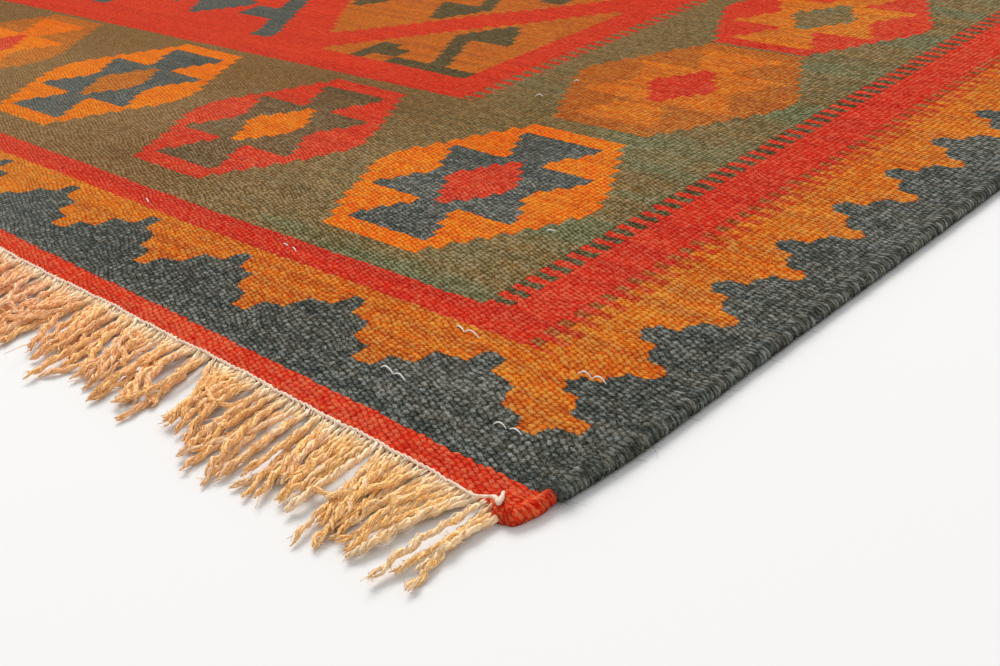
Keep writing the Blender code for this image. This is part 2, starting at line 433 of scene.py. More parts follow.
def across_paths(paths):
    """Unit directions across each path: one level and one upright."""
    tangent = np.gradient(paths, axis=1)
    tangent /= np.linalg.norm(tangent, axis=-1, keepdims=True)
    side = np.cross(tangent, (0.0, 0.0, 1.0))
    side /= np.linalg.norm(side, axis=-1, keepdims=True)
    return side, np.cross(side, tangent)


def round_angles(sides):
    """Angles of the corners of a ring."""
    return np.arange(sides) * 2 * np.pi / sides


def tube_points(paths, radii, sides, lobe=0.0, turns=None):
    """Rings round many paths at once.

    At each point of a path the ring lies across its tangent, and its radius is the path's radius times one plus
    lobe times the cosine of twice the angle from the turning axis, so two plies show as a twisted figure.
    """
    side, lift = across_paths(paths)
    angle = round_angles(sides)
    swell = np.ones((*paths.shape[:2], sides))
    if turns is not None:
        swell += lobe * np.cos(2 * (angle - turns[..., None]))
    reach = (radii[..., None] * swell)[..., None]
    ring = np.cos(angle)[:, None] * side[:, :, None] + np.sin(angle)[:, None] * lift[:, :, None]
    return (paths[:, :, None] + reach * ring).reshape(-1, 3)


def tube_mesh(name, paths, radii, sides, facts=None, lobe=0.0, turns=None):
    """Many closed tubes in one mesh, as tube_points() lays them round their paths.

    facts is a vector for each point of each path, kept as the attribute strand. The attribute ply then holds the
    direction round the tube.
    """
    tubes, rings = paths.shape[:2]
    mesh = build_mesh(name, tube_points(paths, radii, sides, lobe, turns), tube_faces(tubes, rings, sides))
    set_map(mesh, "OFBake", tube_map(tubes, rings, sides))
    if facts is not None:
        set_vectors(mesh, "strand", "POINT", np.repeat(facts.reshape(-1, 3), sides, axis=0))
        angle = np.tile(round_angles(sides), tubes * rings)
        set_vectors(mesh, "ply", "POINT", stacked(np.cos(angle), np.sin(angle), 0.0))
    return mesh


# ---- Shader arithmetic


class Wire:
    """A number that a node gives. Arithmetic on it adds Math nodes to its tree."""

    def __init__(self, tree, socket):
        self.tree = tree
        self.socket = socket

    def math(self, operation, *others):
        node = self.tree.nodes.new("ShaderNodeMath")
        node.operation = operation
        for slot, value in enumerate((self, *others)):
            link_or_set(self.tree, value, node.inputs[slot])
        return Wire(self.tree, node.outputs[0])

    def __add__(self, other):
        return self.math("ADD", other)

    def __sub__(self, other):
        return self.math("SUBTRACT", other)

    def __mul__(self, other):
        return self.math("MULTIPLY", other)

    def __gt__(self, other):
        return self.math("GREATER_THAN", other)

    def __lt__(self, other):
        return self.math("LESS_THAN", other)

    def __abs__(self):
        return self.math("ABSOLUTE")

    def floor(self):
        return self.math("FLOOR")

    def fold(self, half_pitch):
        """Distance to the nearest whole pitch."""
        return self.math("PINGPONG", half_pitch)

    def scaled(self, factor, offset):
        return self.math("MULTIPLY_ADD", factor, offset)

    def about(self, width):
        """A number from nought to one, spread evenly about nought."""
        return self.scaled(width, -width / 2)

    def ramp(self, start, stop):
        """Nought up to start, one from stop, and straight between them."""
        reach = stop - start
        return self.scaled(1 / reach, -start / reach).clamped()

    def fading(self, reach):
        """One where this is nought, falling off exponentially."""
        return self.scaled(-1 / reach, 0.0).math("EXPONENT")

    def bell(self, reach):
        """One where this is nought, falling off with the exponential of its square."""
        return (self * self).scaled(-1 / reach**2, 0.0).math("EXPONENT")

    def clamped(self):
        node = self.tree.nodes.new("ShaderNodeClamp")
        self.tree.links.new(self.socket, node.inputs[0])
        return Wire(self.tree, node.outputs[0])


def link_or_set(tree, value, socket):
    if isinstance(value, Wire):
        tree.links.new(value.socket, socket)
    elif isinstance(value, bpy.types.NodeSocket):
        tree.links.new(value, socket)
    else:
        socket.default_value = value


def pick(mask, chosen, other):
    """chosen where mask is one, other where it is nought. A name stands for its dye's number."""
    node = mask.tree.nodes.new("ShaderNodeMix")
    for slot, value in ((0, mask), (2, other), (3, chosen)):
        link_or_set(mask.tree, DYE_NUMBERS[value] if isinstance(value, str) else value, node.inputs[slot])
    return Wire(mask.tree, node.outputs[0])


def tint(tree, factor, first, second, kind="MIX"):
    """Mixes two colours."""
    node = tree.nodes.new("ShaderNodeMix")
    node.data_type = "RGBA"
    node.blend_type = kind
    for slot, value in ((0, factor), (6, first), (7, second)):
        link_or_set(tree, value, node.inputs[slot])
    return node.outputs[2]


def deepen(tree, colour, power):
    """Colour raised to a power, as light that bounces between threads of one dye deepens it in their grooves."""
    node = tree.nodes.new("ShaderNodeGamma")
    link_or_set(tree, colour, node.inputs[0])
    link_or_set(tree, power, node.inputs[1])
    return node.outputs[0]


def shaded(tree, colour, shade):
    """Colour times a number."""
    return tint(tree, 1.0, colour, join(tree, shade, shade, shade), "MULTIPLY")


def rgba(colour):
    return (*colour, 1.0)


def attribute(tree, name, output="Vector"):
    """The socket that gives one of the mesh's attributes."""
    node = tree.nodes.new("ShaderNodeAttribute")
    node.attribute_name = name
    return node.outputs[output]


def split(tree, socket):
    """The three numbers of a vector or colour."""
    node = tree.nodes.new("ShaderNodeSeparateXYZ")
    tree.links.new(socket, node.inputs[0])
    return [Wire(tree, output) for output in node.outputs]


def join(tree, x, y, z=0.0):
    """A vector of three numbers."""
    node = tree.nodes.new("ShaderNodeCombineXYZ")
    for slot, value in enumerate((x, y, z)):
        link_or_set(tree, value, node.inputs[slot])
    return node.outputs[0]


def noise(tree, vector, scale=1.0, detail=2.0, roughness=0.5, colour=False):
    """Soft noise from nought to one, as a number or as three of them in a colour."""
    node = tree.nodes.new("ShaderNodeTexNoise")
    tree.links.new(vector, node.inputs["Vector"])
    node.inputs["Scale"].default_value = scale
    node.inputs["Detail"].default_value = detail
    node.inputs["Roughness"].default_value = roughness
    return node.outputs["Color"] if colour else Wire(tree, node.outputs["Fac"])


def grain(tree, vector):
    """Three unrelated random numbers for each different vector."""
    node = tree.nodes.new("ShaderNodeTexWhiteNoise")
    tree.links.new(vector, node.inputs["Vector"])
    return split(tree, node.outputs["Color"])


def stepped_ramp(tree, factor, colours):
    """The colour whose number is factor, out of a list."""
    node = tree.nodes.new("ShaderNodeValToRGB")
    node.color_ramp.interpolation = "CONSTANT"
    marks = node.color_ramp.elements
    for number, colour in enumerate(colours):
        mark = marks[number] if number < 2 else marks.new(number / len(colours))
        mark.position = number / len(colours)
        mark.color = rgba(colour)
    tree.links.new(factor.scaled(1 / len(colours), 0.5 / len(colours)).socket, node.inputs[0])
    return node.outputs[0]


def new_wool(name, roughness=1.0, sheen=0.02):
    """A material with the soft, dull finish of wool. Returns it with its tree and its shader."""
    old = bpy.data.materials.get(name)
    if old is not None:
        bpy.data.materials.remove(old)
    material = bpy.data.materials.new(name)
    material.use_nodes = True
    tree = material.node_tree
    shader = tree.nodes["Principled BSDF"]
    shader.inputs["Roughness"].default_value = roughness
    shader.inputs["Specular IOR Level"].default_value = 0.04
    shader.inputs["Sheen Weight"].default_value = sheen
    shader.inputs["Sheen Roughness"].default_value = 0.6
    return material, tree, shader


def raise_bumps(tree, shader, height, distance):
    """Lifts the shaded surface by height times distance."""
    node = tree.nodes.new("ShaderNodeBump")
    node.inputs["Distance"].default_value = distance
    tree.links.new(height.socket, node.inputs["Height"])
    tree.links.new(node.outputs[0], shader.inputs["Normal"])


# ---- The woven chart, as shader arithmetic


def stepped_teeth(along, teeth):
    """Where the orange starts: at the tooth's tip, rising gently, and one step further back past each distance."""
    edge = along.scaled(teeth["slope"], teeth["tip"])
    for distance, rise in teeth["steps"]:
        edge = (along - distance).scaled(teeth["haste"], 0.5).clamped().scaled(rise, 0.0) + edge
    return edge


def staircase(up, outline):
    """A half width that changes by one step's share at each step up."""
    height, gain, first = MEDALLION_STEPS[outline]
    return (up * (1 / height)).floor().scaled(gain, first)


def medallion(across, up, dyes):
    """The dye in a medallion: a stepped, blunt hexagon ring, a figure of belly and wings, and a stepped heart."""
    ring, figure, heart = dyes
    reach = staircase(up, "ring").math("MINIMUM", MEDALLION["blunt"])
    hexagon = (reach > across) * (up < MEDALLION["half_up"])
    over_belly = up - MEDALLION["belly_up"]
    belly = (staircase(up, "belly") > across) * (over_belly < 0.0)
    wings = (staircase(over_belly, "wings") > across) * (over_belly > 0.0) * (up < MEDALLION["wings_up"])
    core = staircase(up, "heart") > across
    inside = pick(core, heart, pick(belly.math("MAXIMUM", wings), figure, ring))
    return pick(hexagon, inside, "olive")


def diamond(across, up, kind):
    """The dye in a lattice diamond: either an orange one with an olive hook, or a dark stepped outline and hooks.

    p and q are the distances from its middle as shares of its half sizes, and q goes by steps of the weave.
    """
    p = across * (1 / LATTICE["half_in"])
    q = (up * (1 / LATTICE["step_up"])).floor() * (LATTICE["step_up"] / LATTICE["half_up"])
    head = (abs(p - 0.32) < (q - 0.65).scaled(-0.72, 0.0)) * (q > 0.36) * (q < 0.6)
    stem = (abs(p - q.scaled(0.67, 0.2)) < 0.055) * (q < 0.4)
    bar = (q < 0.03) * (p < 0.53)
    stub = (abs(p - 0.66) < 0.13) * (abs(q - 0.08) < (p - 0.42).scaled(0.3, 0.0))
    hook = head.math("MAXIMUM", stem).math("MAXIMUM", bar).math("MAXIMUM", stub)
    bright = pick(hook, "moss", "field_orange")
    outline = (abs(q.scaled(0.83, -0.83) + p) < 0.082) * (q < 0.62)
    claw = (abs(q - 0.235) < 0.065) * (abs(p - 0.47) < 0.16)
    body = (p < (q - 0.05).math("MINIMUM", 0.23)) * (q < 0.36)
    dark = outline.math("MAXIMUM", claw).math("MAXIMUM", body)
    dim = pick(dark, "charcoal", "field_red")
    return pick(p + q < 1.0, pick(kind > 1.5, dim, bright), "field_red")


def end_teeth(x, y):
    """How far up the orange starts: teeth along the end that crowd at the seen corner, and drift slowly."""
    along = x.scaled(-1.0, CHART["middle"] - END_TEETH["first"])
    past = along.math("MAXIMUM", 0.0)
    crowd = past.bell(END_TEETH["early_reach"]).scaled(END_TEETH["early_crowd"], END_TEETH["crowd"])
    along = (past.fading(END_TEETH["crowd_reach"]) - 1.0) * crowd + along
    drift = (along * (math.pi / (8 * END_TEETH["pitch"]))).math("SINE") * -END_TEETH["drift"]
    edge = stepped_teeth((drift + along).fold(END_TEETH["pitch"] / 2), END_TEETH)
    return past.bell(END_TEETH["corner_reach"]) * (y < 0.0) * -END_TEETH["corner_dip"] + edge


def side_teeth(y, upward):
    """How far in the orange starts: teeth up the side that crowd at the near corner."""
    along = y + (CHART["end"] - SIDE_TEETH["first"])
    along = (y + CHART["end"]).fading(SIDE_TEETH["crowd_reach"]) * -SIDE_TEETH["crowd"] + along
    edge = stepped_teeth(along.fold(SIDE_TEETH["pitch"] / 2), SIDE_TEETH)
    return upward.bell(SIDE_TEETH["corner_reach"]) * -SIDE_TEETH["corner_dip"] + edge


def chart(tree, x, y):
    """The number of the dye at x, y (millimetres from the rug's middle), zone by zone from the edge inward.

    Each zone starts where the distances inward from the side and upward from the end have both passed its own.
    Fingers are short bars of two wefts, by which the zones mesh at their sides.
    """
    motif_x, motif_y, kind = split(tree, attribute(tree, "motif"))
    motif_dyes = split(tree, attribute(tree, "motif_dyes"))
    motif_share = Wire(tree, attribute(tree, "motif_share", "Fac"))
    x_out = abs(x)
    inward = x_out.scaled(-1.0, CHART["middle"])
    upward = abs(y).scaled(-1.0, CHART["end"])
    across = abs(x - motif_x)
    up = abs(y - motif_y)
    orange = (inward > side_teeth(y, upward)) * (upward > end_teeth(x, y))

    finger = (y + CHART["finger_down"]).fold(CHART["finger_pitch"] / 2) < CHART["finger_pitch"] / 4
    rise = (x_out - CHART["frame_slant_from"]).math("MAXIMUM", 0.0) * CHART["frame_slant"]
    frame_zone = (inward > CHART["frame_in"]) * (upward > rise + CHART["frame_up"])
    finger_gain = CHART["frame_fringe"] - CHART["frame_fingers"]
    frame_red = finger.scaled(finger_gain, CHART["frame_in"] + CHART["frame_fingers"]) < inward
    deep = inward > CHART["frame_in"] + CHART["frame_fringe"]
    mottle = pick(deep, "mottle", "border_orange")
    mottle = pick((frame_red + deep < 0.5) * finger, "rust", mottle)
    ground_side = finger.scaled(CHART["ground_fingers"], CHART["ground_in"])
    ground_zone = (ground_side < inward) * (upward > rise + CHART["ground_up"])
    field_side = finger.scaled(CHART["field_fingers"], CHART["field_in"])
    field_edge = ((y > 0.0).scaled(-2.0, 1.0) * x).scaled(CHART["field_slant"], CHART["field_up"])
    field_zone = (field_side < inward) * (field_edge < upward)
    in_lattice = (inward > CHART["field_margin_in"]) * (upward > CHART["field_margin_up"])

    dye = pick(orange, "border_orange", "charcoal")
    dye = pick(frame_zone, pick(frame_red, "frame_red", mottle), dye)
    dye = pick(ground_zone, medallion(across * motif_share, up, motif_dyes), dye)
    hooks = ground_zone * (inward < CHART["ground_in"] + CHART["ground_fingers"])
    dye = pick(hooks, "moss", dye)
    dye = pick(field_zone, pick(in_lattice, diamond(across, up, kind), "field_red"), dye)
    return pick(upward < CHART["web_up"], "end_red", dye)


def weave_beads(tree, cloth, place):
    """The beads of the weave under each point of the map weave, in millimetres.

    Neighbouring ribs' beads stand half a bead apart, and the line between two ribs wavers with them. The beat of the
    wefts changes slowly along the cloth. Returns the point's x and y, its distances from the middle of its bead,
    and three random numbers for the bead.
    """
    u, v, _ = split(tree, place)
    wander = split(tree, noise(tree, place, 70.0, 3.0, 0.78, colour=True))
    x = wander[0].about(3.4) + u * 1000.0
    y = wander[1].about(3.0) + v * 1000.0
    rib, bead = cloth.rib * 1000, cloth.bead * 1000
    beaten = noise(tree, place, 26.0, 1.0).about(10.0) + y
    zigzag = (beaten * (2 * math.pi / bead)).math("COSINE") * (x * (math.pi / rib)).math("COSINE")
    ribbed = zigzag * -0.42 + x
    rib_number = (ribbed * (1 / rib)).floor()
    half_step = (rib_number * 0.5).math("FRACT")
    off_x = ribbed - rib_number.scaled(rib, rib / 2)
    slanted = off_x * cloth.bead_slant + beaten
    bead_number = (slanted * (1 / bead) + half_step).floor()
    off_y = slanted - (bead_number - half_step).scaled(bead, bead / 2)
    return x, y, off_x, off_y, grain(tree, join(tree, rib_number, bead_number))


def dyed_wool(tree, number, u, v, luck):
    """The dye's colour: streaks of its two lots along the weft, and olive that clouds over or browns."""
    streak = noise(tree, join(tree, u * 2.6, v * 120.0), 1.0, 3.0, 0.6)
    lot_share = (streak.scaled(3.6, -1.3) + luck[1].about(0.8)).clamped()
    mains, lots = ([daylight(*dye[lot]) for dye in DYES.values()] for lot in (0, 1))
    colour = tint(tree, lot_share, stepped_ramp(tree, number, mains), stepped_ramp(tree, number, lots))
    olive = abs(number - DYE_NUMBERS["olive"]) < 0.5
    # Metres out from the rug's middle line
    browner, outer = abs(u).ramp(0.429, 0.299), abs(u).ramp(0.462, 0.602)
    cloudy = noise(tree, join(tree, u * 7.0, v * 26.0, 5.0), 1.0, 2.0, 0.55)
    colour = tint(tree, olive * browner * 0.75, colour, rgba(daylight(*BARK)))
    greener = olive * (cloudy.scaled(8.0, -4.6) + outer * 1.1 - browner * 0.8).clamped()
    return tint(tree, greener * 0.8, colour, rgba(daylight(*VERDIGRIS)))


def kilim_wool(cloth):
    """Weft-faced wool: ribs along the warps, a bead for each pass of the weft, and the chart's dye in each bead.

    A bead is highest in its middle, falls off by a power of the distance from there, and is tilted by chance. Noise
    stretched along the weft gives the yarn its fibres. Fall, tilt and grain are painted in as shade that deepens the
    grooves and as highlight on the tops. Away from the sides and ends, and towards the middle, their contrast fades.
    """
    material, tree, shader = new_wool("kilim_wool")
    weave = tree.nodes.new("ShaderNodeUVMap")
    weave.uv_map = "weave"
    place = weave.outputs[0]
    u, v, _ = split(tree, place)
    x, y, off_x, off_y, luck = weave_beads(tree, cloth, place)
    # The chart is read nearer to the bead's middle than the point is, so its edges step with the beads
    charted_x = x - off_x * 0.8
    charted_y = y - off_y * 0.4 + luck[0].about(0.7)
    number = chart(tree, charted_x, charted_y)
    colour = dyed_wool(tree, number, u, v, luck)

    fibre = noise(tree, join(tree, u * 1050.0, v * 1900.0, luck[0] * 9.0), 1.0, 3.0, 0.75)
    lint = noise(tree, join(tree, u * 430.0 + v * 160.0, v * 700.0), 1.0, 2.0, 0.6)
    a, b = off_x * (0.002 / cloth.rib), off_y * (0.002 / cloth.bead)
    fall = (a * a * 0.8 + b * b * 0.7).math("POWER", 1.05)
    tilt = luck[0].about(1.0) * a + luck[1].about(1.0) * b
    height = fall * -0.8 + tilt * 0.45 + fibre * 0.9 + luck[2] * 0.35 + lint * 0.5
    raise_bumps(tree, shader, height, 0.0016)

    patch = noise(tree, place, 9.0, 2.0)
    # Painted shade and highlight: each bead's fall and chance tilt, with the grain's noise, darken its grooves and
    # pale its top
    grooves = (tilt - fall) * 0.5 + fibre.about(2.4) + lint.about(1.3) + luck[2].about(0.5) + patch.about(0.5)
    inner = abs(charted_x).math("MAXIMUM", abs(charted_y) - (CHART["end"] - CHART["middle"]))
    contrast = inner.ramp(CHART["middle"] - 60.0, CHART["middle"] - 320.0).scaled(-0.5, 1.0)
    contrast = contrast * abs(charted_x).ramp(100.0, 460.0).scaled(0.6, 0.4)
    deeper = inner.ramp(CHART["middle"] - 200.0, CHART["middle"] - 260.0) * 0.13
    # Charcoal, dye number nought, may take a paler painted highlight on its bead tops than the others
    palest_painted_highlight = pick(number < 0.5, 0.5, 0.7)
    colour = deepen(tree, colour, (grooves * contrast).scaled(-1.12, 0.84).math("MAXIMUM", palest_painted_highlight) + deeper)
    fleck = (luck[1] * 0.12 + fibre > 0.82) * 0.13
    colour = tint(tree, fleck, colour, rgba(daylight(*LINT)))
    tree.links.new(colour, shader.inputs["Base Color"])
    return material


def warp_yarn(fringe):
    """Space-dyed warp ends: undyed at the roots, gold near the seen corner and rust further along, with flecks.

    The attribute strand holds the length along an end, its chance number and its distance inward.
    Fibres are long noise round the ply. Specks are finer, and brown where they are dark and bare where pale.
    """
    material, tree, shader = new_wool("fringe_yarn", sheen=0.12)
    along, luck, inward = split(tree, attribute(tree, "strand"))
    ply_x, ply_y, _ = split(tree, attribute(tree, "ply"))
    patches = noise(tree, join(tree, along * 150.0, luck * 60.0), 1.0, 3.0, 0.6)
    round_fibre = join(tree, along * 900.0, ply_x * 3.6 + luck * 91.0, ply_y * 3.6 + inward * 40.0)
    fibres = noise(tree, round_fibre, 1.0, 3.0, 0.7)
    round_speck = join(tree, along * 1700.0, luck * 37.0 + ply_x * 1.4, inward * 90.0 + ply_y * 1.4)
    specks = noise(tree, round_speck, 1.0, 1.0, 0.5)
    share = (inward.scaled(3.4, -0.25) + luck.about(1.4) + patches.about(1.6)).clamped()
    dyed = tint(tree, share, rgba(fringe.gold), rgba(fringe.rust))
    brown = [value * weight for value, weight in zip(fringe.rust, (0.72, 0.44, 0.32))]
    dyed = tint(tree, specks.scaled(9.0, -4.6).clamped() * share.scaled(0.35, 0.4), dyed, rgba(brown))
    bare = (along.scaled(-80.0, 1.1) + luck.about(0.9)).clamped()
    paler = inward.scaled(-9.0, 1.3).clamped()
    patchy = (patches.about(3.0) + (luck - 0.62) * 2.5 + paler * 0.7).clamped() * 0.8
    for baring in (patchy, fibres.scaled(10.0, -5.0).clamped() * 0.9, specks.scaled(-10.0, 4.3).clamped() * 0.8):
        bare = bare.math("MAXIMUM", baring)
    colour = tint(tree, bare, dyed, rgba(fringe.root))
    # Fibres and specks lighten and darken the colour: partly the yarn's own uneven tone, partly painted glints and
    # painted shade of single fibres
    shade = (fibres * 1.2 + specks.scaled(-1.2, 1.06)).math("MINIMUM", 1.15)
    tree.links.new(shaded(tree, colour, shade), shader.inputs["Base Color"])
    raise_bumps(tree, shader, fibres + specks, 0.0002)
    return material


def plain_wool(name, colour, scale):
    """Small threads and hairs: one colour with a fine uneven grain."""
    material, tree, shader = new_wool(name, sheen=0.1)
    place = tree.nodes.new("ShaderNodeTexCoord").outputs["Object"]
    fibre = noise(tree, place, scale, 2.0, 0.6)
    tree.links.new(shaded(tree, rgba(colour), fibre.scaled(0.7, 0.62)), shader.inputs["Base Color"])
    raise_bumps(tree, shader, fibre, 0.0003)
    return material


# ---- The pieces' shapes


def medallion_table():
    """Every medallion of both ends and both sides, as rows of middle x, middle y, kind, share and three dyes."""
    middle, end = CHART["middle"], CHART["end"]
    rows = []

    def add(x, y, share, gul):
        rows.append((x, y, 0, share, *(DYE_NUMBERS[gul[part]] for part in ("ring", "figure", "heart"))))

    for end_side in (NEAR, FAR):
        for gul in END_MEDALLIONS:
            share = MEDALLION["half"] / gul["half"]
            add(end_side * (gul["in"] - middle), end_side * (end - END_MEDALLION_UP), share, gul)
    first, last = SIDE_MEDALLION_UPS[-1], 2 * end - END_MEDALLION_UP
    ups = [*SIDE_MEDALLION_UPS[1:]]
    ups += [first + (last - first) * step / SIDE_MEDALLIONS_LEFT for step in range(1, SIDE_MEDALLIONS_LEFT)]
    for side in (RIGHT, LEFT):
        for number, up in enumerate(ups):
            gul = SIDE_MEDALLIONS[number % len(SIDE_MEDALLIONS)]
            add(side * (middle - SIDE_MEDALLION_IN), side * (up - end), 1.0, gul)
    return np.array(rows, dtype=float)


def lattice_table():
    """Every diamond of the field, as rows of middle x, middle y, kind, share and three unused dyes."""
    rows = []
    half_field = CHART["end"] - LATTICE["first_up"]
    for row in range(LATTICE["rows"] + 1):
        y = half_field * (2 * row / LATTICE["rows"] - 1)
        for column in range(-2 + row % 2, 3, 2):
            x = column * LATTICE["half_pitch_in"]
            dark = row % 4 == 0 and column == 0 or row % 4 == 2 and column != 0
            rows.append((x, y, 2 if dark else 1, 1.0, 0, 0, 0))
    return np.array(rows, dtype=float)


def nearest_motif(table, x, y, stretch):
    """The row of the table whose middle is nearest to each x, y, with distances up the cloth divided by stretch."""
    distance = abs(x[:, None] - table[:, 0]) + abs(y[:, None] - table[:, 1]) / stretch
    return table[np.argmin(distance, axis=1)]


def stations(marks, widest, rounding):
    """Grid lines through these marks, no further apart than widest, and crowded within rounding of both ends."""
    lines = []
    for low, high in zip(marks, marks[1:]):
        count = max(1, math.ceil((high - low) / widest))
        lines += list(low + (high - low) * np.arange(count) / count)
    lines = np.array([*lines, marks[-1]])
    crowd = rounding * np.array([0.08, 0.3, 0.62, 1.0])
    inner = lines[(lines > marks[0] + rounding * 1.5) & (lines < marks[-1] - rounding * 1.5)]
    return np.concatenate([[marks[0]], marks[0] + crowd, inner, marks[-1] - crowd[::-1], [marks[-1]]])


def quarter_round(share, least=0.0):
    """The height of a quarter circle over shares of its width."""
    return np.sqrt(np.clip(1 - (1 - np.clip(share, 0, 1)) ** 2, least, 1))


def cloth_grid(cloth, half_width, half_length):
    """The grid's points: its lines part neighbouring medallions, and crowd at the ends and along the sides."""
    ins = sorted(gul["in"] for gul in END_MEDALLIONS)
    gaps = [(CHART["middle"] - (low + high) / 2) * MM for low, high in zip(ins, ins[1:])]
    xs = stations([-half_width, *sorted(gaps), half_width], cloth.cell, cloth.edge_round)
    beside = half_width - np.array([0.0024, 0.0035, 0.005, 0.007])
    inside = xs[abs(xs) < half_width - 0.008]
    xs = np.unique(np.concatenate([inside, xs[abs(xs) >= half_width - cloth.edge_round], beside, -beside]))
    breaks = [((low + high) / 2 - CHART["end"]) * MM for low, high in zip(SIDE_MEDALLION_UPS, SIDE_MEDALLION_UPS[1:])]
    ys = stations([-half_length, *breaks, half_length], cloth.cell, cloth.edge_round)
    y, x = np.meshgrid(ys, xs, indexing="ij")
    return x, y


def set_motifs(mesh, centre):
    """Tells each face the medallion or diamond nearest to its middle, in millimetres, for the chart."""
    inward = CHART["middle"] - abs(centre[:, 0])
    upward = CHART["end"] - abs(centre[:, 1])
    in_field = (inward > LATTICE["zone_in"]) & (upward > LATTICE["zone_up"])
    guls = nearest_motif(medallion_table(), centre[:, 0], centre[:, 1], 1.0)
    lattice = nearest_motif(lattice_table(), centre[:, 0], centre[:, 1], LATTICE["half_up"] / LATTICE["half_in"])
    facts = np.repeat(np.where(in_field[:, None], lattice, guls), 4, axis=0)
    set_vectors(mesh, "motif", "CORNER", facts[:, :3])
    set_vectors(mesh, "motif_dyes", "CORNER", facts[:, 4:7])
    layer = mesh.attributes.new("motif_share", "FLOAT", "CORNER")
    layer.data.foreach_set("value", facts[:, 3].astype(np.float32))


def cloth_mesh(cloth, selvedge):
    """The cloth as one closed pillow.

    A grid of the woven rectangle is laid by lie(). Its height is half the thickness, plus that half times the
    quarter circle of the distance to the nearest edge, plus a slow cockle, which is a product of two sines. The
    sides rise to the selvedges by an exponential. The underside is the same without cockle and rise, down to the
    floor.
    """
    half_width, half_length = half_sizes(cloth, selvedge)
    grid_x, grid_y = cloth_grid(cloth, half_width, half_length)
    x, y = grid_x.ravel(), grid_y.ravel()
    beside = half_width - abs(x)
    rounding = quarter_round(np.minimum(beside * 2, half_length - abs(y)) / cloth.edge_round)
    laid_x, laid_y = lie(cloth, selvedge, x, y)
    ripple = np.sin(laid_x * 47 + np.sin(laid_y * 13)) * np.sin(laid_y * 38 + 1.3 * np.sin(laid_x * 17 + 1))
    fade = 0.012
    ripple = cloth.cockle * (ripple - 1) / 2 * (1 - np.exp(-((beside / fade) ** 2)))
    half = cloth.thickness / 2
    corner_fade = np.clip((half_length - selvedge.setback - abs(y)) / fade, 0, 1)
    rise = cloth.side_rise * np.exp(-(beside / cloth.side_rise_reach)) * corner_fade
    top = stacked(laid_x, laid_y, half + (half + ripple) * rounding + rise)
    under = stacked(laid_x, laid_y, half - half * rounding)
    number = np.arange(x.size).reshape(grid_x.shape)
    inner = np.zeros(grid_x.shape, dtype=bool)
    inner[1:-1, 1:-1] = True
    under_number = number.copy()
    under_number[inner] = x.size + np.arange(inner.sum())

    def quads(index, order):
        corners = (index[:-1, :-1], index[:-1, 1:], index[1:, 1:], index[1:, :-1])
        return stacked(*(corners[place] for place in order)).reshape(-1, 4)

    upper, lower = (0, 1, 2, 3), (0, 3, 2, 1)
    faces = np.concatenate([quads(number, upper), quads(under_number, lower)])
    mesh = build_mesh("kilim_cloth", np.concatenate([top, under[inner.ravel()]]), [faces])

    flat = np.concatenate([quads(number, upper), quads(number, lower)])
    woven = stacked(x, y)[flat]
    set_map(mesh, "weave", woven.reshape(-1, 2))
    share = (woven + (half_width, half_length)) / (2 * half_length)
    is_top = (np.arange(len(flat)) < len(flat) // 2)[:, None, None]
    baked = np.where(is_top, 0.004 + 0.99 * share, (0.65, 0.004) + 0.53 * share)
    set_map(mesh, "OFBake", baked.reshape(-1, 2))
    set_motifs(mesh, woven.mean(axis=1) * 1000)
    mesh.uv_layers["weave"].active_render = True
    return mesh


def selvedge_line(cloth, selvedge, along, side):
    """Distance of the seam between cloth and selvedge on this side, at these y."""
    return half_sizes(cloth, selvedge)[0] - side_draw(cloth, selvedge, along, side) + selvedge.gap


def set_weave(mesh, places, faces):
    """The map weave, from each point's place on the woven cloth."""
    set_map(mesh, "weave", places[np.concatenate([group.ravel() for group in faces])])


